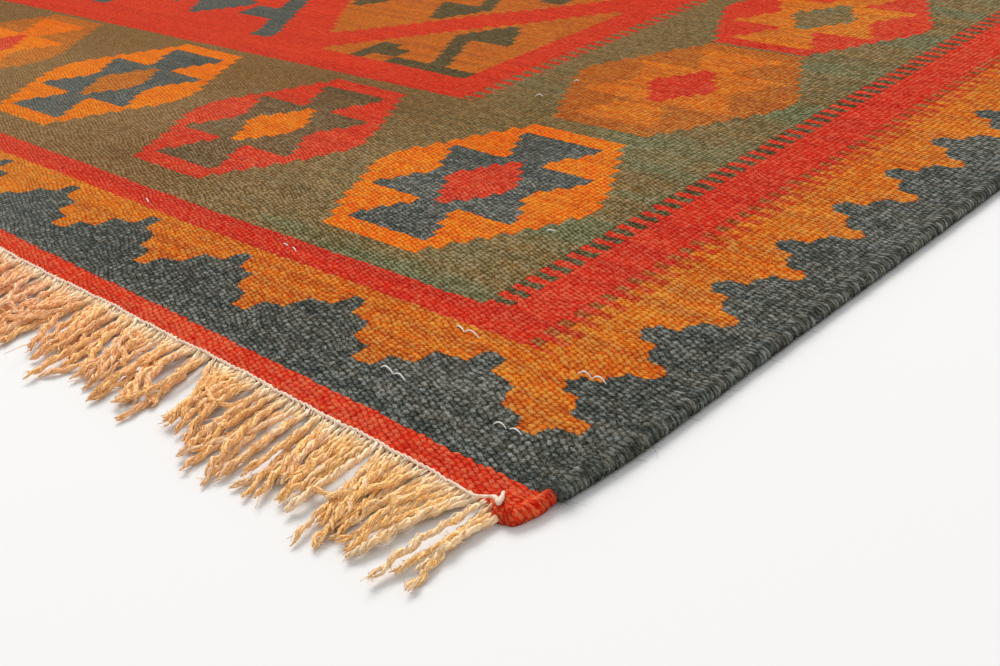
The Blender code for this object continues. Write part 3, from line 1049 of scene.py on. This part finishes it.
def selvedge_mesh(cloth, selvedge, name, side, rings, crowding):
    """A selvedge: the outermost warps as one thick bundle, with the weave carried on over it.

    SELVEDGE_SECTION follows the cloth's side, with its flap on the cloth. Its rings crowd towards the near end by a
    power. Its size wavers with a sine for the wraps, aslant over the section, and with chance, and it shrinks by a
    quarter circle over the last millimetres of both ends. The map weave goes on from the cloth's: the length over
    the section, shortened so that the outermost beads are long, and the woven y.
    """
    half_width, half_length = half_sizes(cloth, selvedge)
    reach = half_length - selvedge.setback
    along = -reach + 2 * reach * np.linspace(0, 1, rings) ** crowding
    middle_out, middle_up = SELVEDGE_MIDDLE
    section = np.array(SELVEDGE_SECTION) - SELVEDGE_MIDDLE
    chance = np.random.default_rng(11 + side)
    slant = np.arctan2(section[:, 1], section[:, 0])
    wraps = np.sin(along[:, None] * (2 * np.pi / cloth.bead) + 2.2 * slant + 0.9 * np.sin(along * 97)[:, None])
    slow = np.sin(along * 183 + 1.2 * np.sin(along * 41)) + np.sin(along * 431 + 2)
    ripple = wraps * 1.2 + slow[:, None] * 0.7 + chance.uniform(-1, 1, rings)[:, None] * 0.5
    closing = (reach - abs(along)) / 0.0035
    size = (0.975 + 0.017 * ripple) * quarter_round(closing, 0.03)[:, None]
    flap = slice(SELVEDGE_FLAP_TIP - 2, SELVEDGE_FLAP_TIP + 1)
    size[:, flap] = np.where(closing[:, None] > 0.5, 1.0, size[:, flap])
    out = selvedge.width * (middle_out + section[:, 0] * size)
    up = np.clip(selvedge.height * (middle_up + section[:, 1] * size), 0.0, None)
    x = side * (selvedge_line(cloth, selvedge, along, side)[:, None] + out)
    faces = tube_faces(1, rings, len(section))
    if side == LEFT:
        faces = [group[:, ::-1] for group in faces]
    mesh = build_mesh(name, stacked(x, along[:, None], up).reshape(-1, 3), faces)
    scaled = np.array(SELVEDGE_SECTION) * (selvedge.width, selvedge.height)
    steps = np.linalg.norm(np.diff(scaled, axis=0), axis=1)
    length = np.concatenate([[0.0], np.cumsum(steps)])
    over = length[SELVEDGE_FLAP_TIP] - length
    flap = -scaled[SELVEDGE_FLAP_TIP, 0]
    across = half_width - flap + np.where(over > flap, flap + (over - flap) * 0.55, over)
    woven = np.linspace(-half_length, half_length, 4000)
    laid = lie(cloth, selvedge, np.full(len(woven), side * half_width), woven)[1]
    chart_y = np.interp(along, laid, woven)
    places = stacked(side * across[None, :], chart_y[:, None])
    set_weave(mesh, places.reshape(-1, 2), faces)
    return mesh


def web_lump_mesh(cloth):
    """The red web turned back at the seen corner, as a pad.

    A polar grid fills a rounded trapezium that narrows away from the cloth. Its height is a root of one less a
    power of the distance from its middle, higher outward, and its rim is closed by the same outline on the floor.
    The map weave measures along each spoke of the grid, so the beads run on down its sides.
    """
    around, out = 96, 30
    roundness, crown = 4.5, 5.0
    half_width, half_length, top, rim = 0.0076, 0.0090, 0.0050, 0.0007
    foot_share = 0.96
    angle = round_angles(around)
    share = np.sin(np.linspace(0, 1, out) * np.pi / 2)[1:]
    centre_x = cloth.rug_width / 2 - 0.0175
    centre_y = -(cloth.cloth_length / 2 + end_slump(cloth, centre_x, NEAR)) + 0.0050
    outline = (abs(np.cos(angle)) ** roundness + abs(np.sin(angle)) ** roundness) ** (-1 / roundness)
    outline *= 1 + 0.02 * np.sin(3 * angle + 2.0) + 0.012 * np.sin(7 * angle)
    turned_x, turned_y = np.outer(share, np.cos(angle) * outline), np.outer(share, np.sin(angle) * outline)
    x = turned_x * (half_width + 0.0026 * turned_y) - 0.0006 * turned_y
    y = half_length * turned_y + 0.0008 * turned_x
    level = np.sqrt(np.clip(1 - share**crown, 0, 1))[:, None]
    height = rim + (0.0043 - 0.07 * y + 0.05 * x + 0.00016 * np.sin(x * 1900 + y * 700)) * level
    spokes = stacked(centre_x + x, centre_y + y, height)
    foot = stacked(centre_x + x[-1] * foot_share, centre_y + y[-1] * foot_share, 0.0)
    spokes = np.concatenate([spokes, foot[None]])
    points = np.concatenate([[[centre_x, centre_y, top]], spokes.reshape(-1, 3)])
    ring = np.arange(around)
    after = (ring + 1) % around
    fan = stacked(0, 1 + ring, 1 + after)
    low = 1 + np.arange(out - 1)[:, None] * around
    quads = stacked(low + ring, low + around + ring, low + around + after, low + after).reshape(-1, 4)
    base = (1 + (out - 1) * around + ring)[::-1][None]
    faces = [fan, quads, base]
    mesh = build_mesh("kilim_turned_web", points, faces)
    hub = np.broadcast_to(points[0], (1, around, 3))
    steps = np.linalg.norm(np.diff(spokes, axis=0, prepend=hub), axis=-1)
    length = np.concatenate([[0.0], np.cumsum(steps, axis=0).ravel()])
    heading = np.concatenate([[0.0], np.broadcast_to(np.arctan2(y[-1], x[-1]), (out, around)).ravel()])
    places = stacked(centre_x + length * np.cos(heading), centre_y - 0.002 + length * np.sin(heading))
    set_weave(mesh, places, faces)
    return mesh


def web_binding_mesh(cloth, selvedge):
    """The turned-back web's bound edge, which carries the selvedge's line on round the corner.

    A tube along an eased path from the selvedge's end to the web's tip, a little flattened, with rounded ends.
    Its radius wavers with a sine for the wraps. The map weave has long beads aslant round it.
    """
    rings, sides, height, radius = 110, 18, 0.0030, 0.0029
    reach = half_sizes(cloth, selvedge)[1] - selvedge.setback
    start = selvedge_line(cloth, selvedge, -reach, RIGHT) - selvedge.gap + selvedge.width * 0.45
    stops = [(start, -reach + 0.0012), (start - 0.0004, -reach - 0.003), (0.7036, -1.1195)]
    stops += [(0.7008, -1.1262), (0.6975, -1.1286)]
    path = arcs([[(x, y, height) for x, y in stops]], rings)
    share = np.linspace(0, 1, rings)
    ends = quarter_round(np.minimum(share, 1 - share) / 0.14, 0.03)[:, None, None]
    points = tube_points(path, np.ones((1, rings)), sides).reshape(rings, sides, 3) - path[0][:, None]
    around = np.arange(sides) / sides
    wraps = np.sin(2 * np.pi * (share[:, None] * 10 + around * 2))[..., None]
    points = path[0][:, None] + points * (radius + 0.00026 * wraps) * ends * (1, 1, 0.96)
    points[..., 2] = points[..., 2].clip(0)
    faces = tube_faces(1, rings, sides)
    mesh = build_mesh("kilim_web_binding", points.reshape(-1, 3), faces)
    woven_y = share[:, None] * 0.024 + around * 0.0045 - 1.14
    places = stacked(0.7 + around * 0.0095, woven_y)
    set_weave(mesh, places.reshape(-1, 2), faces)
    return mesh


def wave(along, pitch, phase):
    """A sine that repeats with each pitch."""
    return np.sin(along * 2 * np.pi / pitch + phase)


def warp_ends(cloth, fringe, end, locks, rings):
    """Paths of the warp ends of these locks beyond one end, with their radii, twists and facts.

    Each starts in the locking row at its own warp, and its heading is its lock's lean plus its own, plus three
    sines of growing strength and now and then a bend. The path adds up the steps along that heading, while the
    yarns of a lock draw together by a bell curve of the length run. It comes down from the row to the floor, or
    rests on the yarns under it. An end swells a little in its middle and tapers at its tip.
    """
    chance = np.random.default_rng(40 + end)
    lock_shift, lock_turn, lock_curve, own_turn = 0.0007, 0.11, 0.18, 0.15
    curled_share, curl, curve, crimps = 0.1, 1.5, 0.22, (0.1, 0.38)
    shares_of_length, shares_of_radius, shares_of_twist = (0.8, 1.1), (0.78, 1.15), (0.7, 1.3)
    layers, layer_shares, curled_layer = [0.0, 0.0014, 0.0027], [0.45, 0.35, 0.2], 0.0034
    row_height, last_inset = 0.0021, 0.0135
    middle = CHART["middle"] * MM
    first = fringe.corner_inset - (cloth.rug_width / 2 - middle)
    last = cloth.rug_width - last_inset
    count = round((last - first) / cloth.rib)

    def draw(low, high):
        return chance.uniform(low, high, (count, 1))

    inward = first + (last - first) * (np.arange(count) + 0.5) / count
    lock = np.floor((inward - first) / (last - first) * fringe.locks).astype(int)
    lock_length = fringe.length + fringe.length_spread * chance.uniform(-1, 1, fringe.locks)
    lock_middle = first + (last - first) * (np.arange(fringe.locks) + 0.5) / fringe.locks
    lock_middle += chance.normal(0, lock_shift, fringe.locks)
    lock_lean = fringe.lean - (fringe.lean + fringe.corner_lean) * np.exp(-lock_middle / fringe.lean_reach)
    lock_length *= 1 + 0.14 * np.clip(lock_middle / 0.4, 0, 1)
    lock_lean += chance.normal(0, lock_turn, fringe.locks)
    lock_bend = chance.normal(0, lock_curve, fringe.locks)
    u = np.linspace(0, 1, rings)[None, :]
    length = np.minimum(lock_length[lock] * chance.uniform(*shares_of_length, count), fringe.reach)[:, None]
    along = length * u

    own = chance.normal(0, own_turn, (count, 1))
    curled = draw(0, 1) < curled_share
    bend = np.where(curled, chance.normal(0, curl, (count, 1)), chance.normal(0, curve, (count, 1)))
    phase = chance.uniform(0, 2 * np.pi, (5, count, 1))
    crimp = draw(*crimps)
    freed = 1 - np.exp(-((along / 0.014) ** 2))
    heading = lock_lean[lock][:, None] + (own + lock_bend[lock][:, None] * u) * freed + bend * u**2.2
    kinks = wave(along, 0.0105, phase[0]) + 0.7 * wave(along, 0.0058, phase[1]) + 0.7 * wave(along, 0.0039, phase[4])
    heading += crimp * freed * kinks
    step = length / (rings - 1)
    start = np.zeros((count, 1))
    sideways, outward = (
        np.concatenate([start, np.cumsum(part(heading[:, 1:]), axis=1) * step], axis=1) for part in (np.sin, np.cos)
    )
    gather = 0.62 + 0.38 * np.exp(-((along / 0.012) ** 2))
    across = lock_middle[lock][:, None] + (inward - lock_middle[lock])[:, None] * gather - sideways
    x = end * (across - middle)
    slump = end_slump(cloth, end * (inward - middle), end)[:, None]
    away = cloth.cloth_length / 2 + slump - 0.0006 + outward * 0.985

    thicker = (1 + 0.16 * np.clip(inward / 0.3, 0, 1))[:, None]
    radius = fringe.yarn_radius * draw(*shares_of_radius) * thicker
    shape = 0.8 + 0.26 * np.sin(np.pi * np.clip(u * 1.02, 0, 1)) ** 0.7 + 0.1 * np.sin(along * 700 + phase[3])
    radii = radius * shape * np.clip((1 - u) / 0.05, 0.2, 1) ** 0.5
    layer = chance.choice(layers, count, p=layer_shares)[:, None]
    layer = np.where(curled, curled_layer, layer)
    drop = np.clip(along / 0.009, 0, 1)
    drop = drop * drop * (3 - 2 * drop)
    hump = np.sin(np.pi * np.clip(0.12 + u * 0.82, 0, 1)) ** 0.7
    rest = radius * 0.95 + layer * hump + 0.0005 * freed * (1 + wave(along, 0.012, phase[2]))
    z = np.maximum(row_height * (1 - drop) + rest * drop, radii * 0.9)
    chosen = (lock >= locks[0]) & (lock < locks[1])
    paths = stacked(x, end * away, z)
    facts = stacked(along, draw(0, 1), inward[:, None])
    turns = along / fringe.twist_pitch * 2 * np.pi * draw(*shares_of_twist) + phase[4]
    return paths[chosen], radii[chosen], turns[chosen], facts[chosen]


def strands_of(paths, radii, turns, facts, strands, away, thick, seed):
    """The strands of each yarn: helices about its path, which drift nearer and further by sines, end at slightly
    different lengths, and spread by a power towards the tip. away and thick are shares of the yarn's radius."""
    chance = np.random.default_rng(seed)
    count, rings = radii.shape
    side, lift = across_paths(paths)
    u = np.linspace(0, 1, rings)
    along = facts[..., 0]
    host = np.arange(count)[:, None]
    made, sizes, known = [], [], []

    def draw(low, high):
        return chance.uniform(low, high, (count, 1))

    for number in range(strands):
        phase = chance.uniform(0, 2 * np.pi, (5, count, 1))
        spread = draw(-0.2, 1.0) * np.clip((u - 0.6) / 0.4, 0, 1) ** 1.7
        swing = radii * (away * (1 + 0.35 * np.sin(along * 310 + phase[0])) + spread)
        turned = turns + number * 2 * np.pi / strands + 0.5 * np.sin(along * 190 + phase[4])
        across = swing * np.cos(turned) + 0.00026 * np.sin(along * 1050 + phase[1])
        above = swing * np.sin(turned) + 0.0002 * np.sin(along * 900 + phase[2])
        strand = paths + across[..., None] * side + above[..., None] * lift
        place = np.arange(rings) * draw(0.92, 1.0)
        low = np.minimum(place.astype(int), rings - 2)
        strand = strand[host, low] + (strand[host, low + 1] - strand[host, low]) * (place - low)[..., None]
        thickness = radii * thick * (1 + 0.14 * np.sin(along * 1300 + phase[3])) * (1 - 0.1 * u**3)
        strand[..., 2] = np.maximum(strand[..., 2], thickness * 0.9)
        fact = facts.copy()
        fact[..., 1] = (fact[..., 1] * 0.45 + draw(0, 1) * 0.55) % 1.0
        for kept, new in zip((made, sizes, known), (strand, thickness, fact)):
            kept.append(new)
    return tuple(np.concatenate(kept) for kept in (made, sizes, known))


def loose_strands(paths, facts, count, length, radius, stray, seed, rings):
    """Fine strands that leave some paths: each starts on one, and bends away in a shallow parabola."""
    chance = np.random.default_rng(seed)
    host = chance.integers(0, len(paths), count)
    place = (1 + (paths.shape[1] - 2) * chance.uniform(0, 1, count) ** 0.75).astype(int)
    start = paths[host, place]
    ahead = paths[host, place + 1] - paths[host, place - 1]
    ahead /= np.linalg.norm(ahead, axis=-1, keepdims=True)
    heading = ahead + chance.normal(0, stray, (count, 3))
    heading[:, 2] = abs(heading[:, 2]) * 0.6
    heading /= np.linalg.norm(heading, axis=-1, keepdims=True)
    bend = chance.normal(0, 0.7, (count, 3))
    bend[:, 2] = -0.3
    u = np.linspace(0, 1, rings)[None, :, None]
    reach = chance.uniform(0.35, 1.0, (count, 1, 1)) * length
    made = start[:, None] + reach * (heading[:, None] * u + bend[:, None] * u * u * 0.5)
    made[..., 2] = np.maximum(made[..., 2], radius * 1.2)
    radii = radius * chance.uniform(0.7, 1.2, (count, 1)) * (1 - 0.55 * u[..., 0])
    kept = np.repeat(facts[host, place][:, None], rings, axis=1)
    return made, radii, kept


def locking_thread(cloth, fringe, end):
    """Two plies twined along one end: circles of opposite phase about a line on the cloth's upper edge."""
    rings = 1150 if end == NEAR else 700
    first, last_inset, pitch, sunk = 0.0405, 0.009, 0.0062, 0.0002
    run = np.linspace(first, cloth.rug_width - last_inset, rings)
    x = end * (run - cloth.rug_width / 2)
    turn = run / pitch * 2 * np.pi
    phase = np.array([0.0, np.pi])[:, None]
    slow = 0.0004 * np.sin(run * 61) + 0.0003 * np.sin(run * 173 + 1) + 0.0002 * np.sin(run * 431)
    away = cloth.cloth_length / 2 + end_slump(cloth, x, end) + sunk + slow
    swing = fringe.thread_radius * 0.95
    outward = end * (away + swing * np.cos(turn + phase))
    height = cloth.thickness - sunk + swing * np.sin(turn + phase)
    paths = stacked(x, outward, height)
    return paths, np.full((2, rings), fringe.thread_radius)


def thread_spurs(cloth, fringe, end):
    """The locking thread's short loops round the warp ends, as arcs over the roots, one for each second warp."""
    chance = np.random.default_rng(60 + end)
    first, last_inset, shift = 0.042, 0.012, 0.0006
    shortest, longest = 0.0018, 0.0042
    run = np.arange(first, cloth.rug_width - last_inset, cloth.rib * 2)
    run = run + chance.normal(0, shift, len(run))
    x = end * (run - cloth.rug_width / 2)
    away = cloth.cloth_length / 2 + end_slump(cloth, x, end) + 0.0003
    reach = chance.uniform(shortest, longest, len(run))
    aslant = chance.normal(0.0008, 0.0009, len(run))
    stops = []
    for share, height in ((0.0, cloth.thickness), (0.45, 0.0034), (1.0, 0.0026)):
        stops.append(stacked(x + aslant * share, end * (away + reach * share), height))
    paths = arcs(np.stack(stops, axis=1), 7)
    return paths, np.full(paths.shape[:2], fringe.thread_radius * 0.8)


def arcs(points, rings):
    """Smooth paths along short rows of points: straight between them, then averaged over five steps."""
    points = np.asarray(points, dtype=float)
    marks = np.linspace(0, 1, points.shape[1])
    u = np.linspace(0, 1, rings)
    weights = stacked(*(np.interp(u, marks, row) for row in np.eye(len(marks))))
    smooth = np.ones(5) / 5
    padded = np.pad(weights, ((2, 2), (0, 0)), mode="edge")
    weights = stacked(*(np.convolve(column, smooth, mode="valid") for column in padded.T))
    return np.einsum("rk,pkd->prd", weights, points)


# ---- Operators


class KILIM_OT_cloth(bpy.types.Operator):
    """Weaves the cloth, and its web turned back and bound at the seen corner"""

    bl_idname = "kilim.cloth"
    bl_label = "Weave cloth"

    def execute(self, context):
        cloth, selvedge = context.scene.kilim_cloth, context.scene.kilim_selvedge
        wool = kilim_wool(cloth)
        place_piece(cloth_mesh(cloth, selvedge), wool, ["rug_cloth"])
        place_piece(web_lump_mesh(cloth), wool)
        place_piece(web_binding_mesh(cloth, selvedge), wool)
        return {"FINISHED"}


class KILIM_OT_selvedges(bpy.types.Operator):
    """Overcasts both selvedges and gives them their fluff"""

    bl_idname = "kilim.selvedges"
    bl_label = "Overcast selvedges"

    def execute(self, context):
        cloth, selvedge = context.scene.kilim_cloth, context.scene.kilim_selvedge
        wool = bpy.data.materials["kilim_wool"]
        fluffs = (
            ("dark", plain_wool("dark_fluff_wool", selvedge.wool, 900.0), 1, 20),
            ("pale", plain_wool("fluff_wool", selvedge.hair, 900.0), 4, 27),
        )
        reach = half_sizes(cloth, selvedge)[1] - selvedge.setback
        for side, word, rings, crowding, hairs in ((RIGHT, "right", 2600, 1.5, 2600), (LEFT, "left", 700, 1.0, 400)):
            mesh = selvedge_mesh(cloth, selvedge, f"kilim_selvedge_{word}", side, rings, crowding)
            place_piece(mesh, wool, [f"selvedge_{word}"])
            along = -side * reach + side * 2 * reach * np.linspace(0, 1, 900) ** 2.8
            seam = selvedge_line(cloth, selvedge, along, side)
            hosts = np.array([
                stacked(side * (seam + selvedge.width * out), along, selvedge.height * up)
                for out, up in SELVEDGE_HAIRLINES
            ])
            for kind, material, share, seed in fluffs:
                length, radius, stray = selvedge.hair_length, 0.00007, 1.6
                made, thin, _ = loose_strands(hosts, hosts, hairs // share, length, radius, stray, seed + side, 5)
                place_piece(tube_mesh(f"kilim_{kind}_fluff_{word}", made, thin, 3), material)
        return {"FINISHED"}


class KILIM_OT_fringes(bpy.types.Operator):
    """Makes both fringes of warp ends, their loose strands and the threads that lock them"""

    bl_idname = "kilim.fringes"
    bl_label = "Knot out fringes"

    def execute(self, context):
        scene = context.scene
        cloth, fringe = scene.kilim_cloth, scene.kilim_fringe
        yarn = warp_yarn(fringe)

        def place_yarn(name, strands, sides, nodes=()):
            paths, radii, facts = strands
            place_piece(tube_mesh(name, paths, radii, sides, facts), yarn, nodes)

        # Each stretch: rings of a path, plies and their sides, and how many strays, hairs and wisps
        stretches = (
            (NEAR, "near_fine", (0, fringe.fine_locks), 26, 3, 5, 4, 7500, 150),
            (NEAR, "near_rest", (fringe.fine_locks, fringe.locks), 14, 2, 4, 2, 900, 50),
            (FAR, "far", (0, fringe.locks), 10, 2, 4, 1, 400, 50),
        )
        for end, word, locks, rings, plies, sides, strays, hairs, wisps in stretches:
            node = "fringe_near" if end == NEAR else "fringe_far"
            paths, radii, turns, facts = warp_ends(cloth, fringe, end, locks, rings)
            plied = strands_of(paths, radii, turns, facts, plies, 0.47, 0.86 - plies * 0.08, 50 + end)
            place_yarn(f"kilim_fringe_{word}", plied, sides, [node])
            fine = strands_of(paths, radii, turns * 0.6, facts, strays, 1.0, 0.17, 55 + end)
            place_yarn(f"kilim_fringe_strands_{word}", fine, 4)
            hair = loose_strands(fine[0], fine[2], hairs, 0.0024, 0.00015, 1.5, 90 + end, 3)
            place_yarn(f"kilim_fringe_hairs_{word}", hair, 3)
            wisp = loose_strands(paths, facts, wisps, 0.012, 0.0003, 0.4, 70 + end, 10)
            place_yarn(f"kilim_fringe_plies_{word}", wisp, 5)
        thread = plain_wool("locking_thread_wool", fringe.thread, 2200.0)
        for end, word in ((NEAR, "near"), (FAR, "far")):
            for name, shape in (("locking_thread", locking_thread), ("thread_spurs", thread_spurs)):
                mesh = tube_mesh(f"kilim_{name}_{word}", *shape(cloth, fringe, end), 5)
                place_piece(mesh, thread)
        rings, middle, end = 46, CHART["middle"], CHART["end"]
        hook = arcs([[((middle - x) * MM, (y - end) * MM, z * MM) for x, y, z in HOOK]], rings)
        swell = np.interp(np.linspace(0, 1, rings), (0, 0.4, 0.52, 0.8, 1), (1.1, 1.2, 1.9, 2.1, 1.0))
        radii, turns = fringe.thread_radius * swell[None], np.linspace(0, 26, rings)[None]
        mesh = tube_mesh("kilim_thread_hook", hook, radii, 10, lobe=0.15, turns=turns)
        place_piece(mesh, thread)
        return {"FINISHED"}


class KILIM_OT_tacks(bpy.types.Operator):
    """Sews the small white tacking stitches"""

    bl_idname = "kilim.tacks"
    bl_label = "Sew tacks"

    def execute(self, context):
        cloth = context.scene.kilim_cloth
        middle, end = CHART["middle"] * MM, CHART["end"] * MM
        radius, sunk = 0.00026, 0.0005
        u = np.linspace(0, 1, 15)
        ins, ups, runs, rises, lifts = (
            np.array([tack[part] for tack in TACKS])[:, None] * MM for part in ("in", "up", "run", "rise", "lift")
        )
        hump = np.sin(np.pi * u) ** 0.8
        x, y = middle - ins + runs * (u - 0.5), ups - end + rises * (u - 0.5)
        z = cloth.thickness - sunk + (lifts + 0.0004) * hump
        paths = stacked(x, y + lifts * 0.25 * hump, z)
        radii = np.full(paths.shape[:2], radius) * (1 + 0.3 * hump)
        cotton = plain_wool("tacking_cotton", daylight(240, 238, 232), 2600.0)
        place_piece(tube_mesh("kilim_tacks", paths, radii, 6), cotton)
        return {"FINISHED"}


class KILIM_OT_stage(bpy.types.Operator):
    """Lays the pale floor and sets the soft lights and the camera"""

    bl_idname = "kilim.stage"
    bl_label = "Set stage"

    def execute(self, context):
        scene, settings = context.scene, context.scene.kilim_stage
        reach, down = 14.0, -0.0002
        corners = np.array([(x * reach, y * reach, down) for x, y in ((-1, -1), (1, -1), (1, 1), (-1, 1))])
        mesh = build_mesh("studio_floor", corners, [np.arange(4)[None]])
        floor = bpy.data.objects.new("studio_floor", mesh)
        material, tree, shader = new_wool("floor_paint", 0.7, 0.0)
        cloudy = noise(tree, tree.nodes.new("ShaderNodeTexCoord").outputs["Object"], 0.9, 2.0)
        colour = tint(tree, cloudy * 0.5, rgba(settings.floor), rgba(value * 0.985 for value in settings.floor))
        tree.links.new(colour, shader.inputs["Base Color"])
        mesh.materials.append(material)
        scene.collection.objects.link(floor)

        world = bpy.data.worlds.new("studio_air")
        scene.world = world
        world.use_nodes = True
        air = world.node_tree.nodes["Background"]
        air.inputs["Color"].default_value = (0.97, 0.985, 1.0, 1.0)
        air.inputs["Strength"].default_value = settings.sky
        lamp = bpy.data.lights.new("key_lamp", "AREA")
        lamp.shape = "RECTANGLE"
        lamp.size, lamp.size_y = LAMP_SIZE
        lamp.energy = settings.key
        lamp.color = (1.0, 0.985, 0.96)
        key = bpy.data.objects.new("key_lamp", lamp)
        key.location = LAMP_STAND
        key.rotation_euler = (Vector(LAMP_AIM) - key.location).to_track_quat("-Z", "Y").to_euler()
        scene.collection.objects.link(key)

        camera_data = bpy.data.cameras.new("studio_camera")
        camera_data.lens = settings.lens
        camera_data.sensor_width = 36.0
        camera_data.clip_start = 0.02
        camera = bpy.data.objects.new("studio_camera", camera_data)
        turn = Matrix(CAMERA_AXES).transposed().to_4x4()
        camera.matrix_world = Matrix.Translation(Vector(SEEN_CORNER) + Vector(CAMERA_STAND)) @ turn
        scene.collection.objects.link(camera)
        scene.camera = camera
        scene.view_settings.view_transform = "Standard"
        return {"FINISHED"}


class KILIM_PT_panel(bpy.types.Panel):
    """Lists the rug's pieces and their sizes"""

    bl_idname = "KILIM_PT_panel"
    bl_label = "Kilim rug"
    bl_space_type = "VIEW_3D"
    bl_region_type = "UI"
    bl_category = "Kilim"

    def draw(self, context):
        scene = context.scene
        for operator in OPERATORS:
            self.layout.operator(operator.bl_idname)
        for settings in (scene.kilim_cloth, scene.kilim_selvedge, scene.kilim_fringe, scene.kilim_stage):
            box = self.layout.box()
            for name in settings.bl_rna.properties.keys():
                if name not in ("rna_type", "name"):
                    box.prop(settings, name)


OPERATORS = (KILIM_OT_stage, KILIM_OT_cloth, KILIM_OT_selvedges, KILIM_OT_fringes, KILIM_OT_tacks)
GROUPS = {
    "kilim_cloth": KilimClothSettings,
    "kilim_selvedge": KilimSelvedgeSettings,
    "kilim_fringe": KilimFringeSettings,
    "kilim_stage": KilimStageSettings,
}


def register():
    for group in (*GROUPS.values(), *OPERATORS, KILIM_PT_panel):
        bpy.utils.register_class(group)
    for name, group in GROUPS.items():
        setattr(bpy.types.Scene, name, PointerProperty(type=group))


def unregister():
    for name in GROUPS:
        delattr(bpy.types.Scene, name)
    for group in reversed((*GROUPS.values(), *OPERATORS, KILIM_PT_panel)):
        bpy.utils.unregister_class(group)


def main():
    register()
    bpy.ops.kilim.stage()
    bpy.ops.kilim.cloth()
    bpy.ops.kilim.selvedges()
    bpy.ops.kilim.fringes()
    bpy.ops.kilim.tacks()


if __name__ == "__main__":
    main()
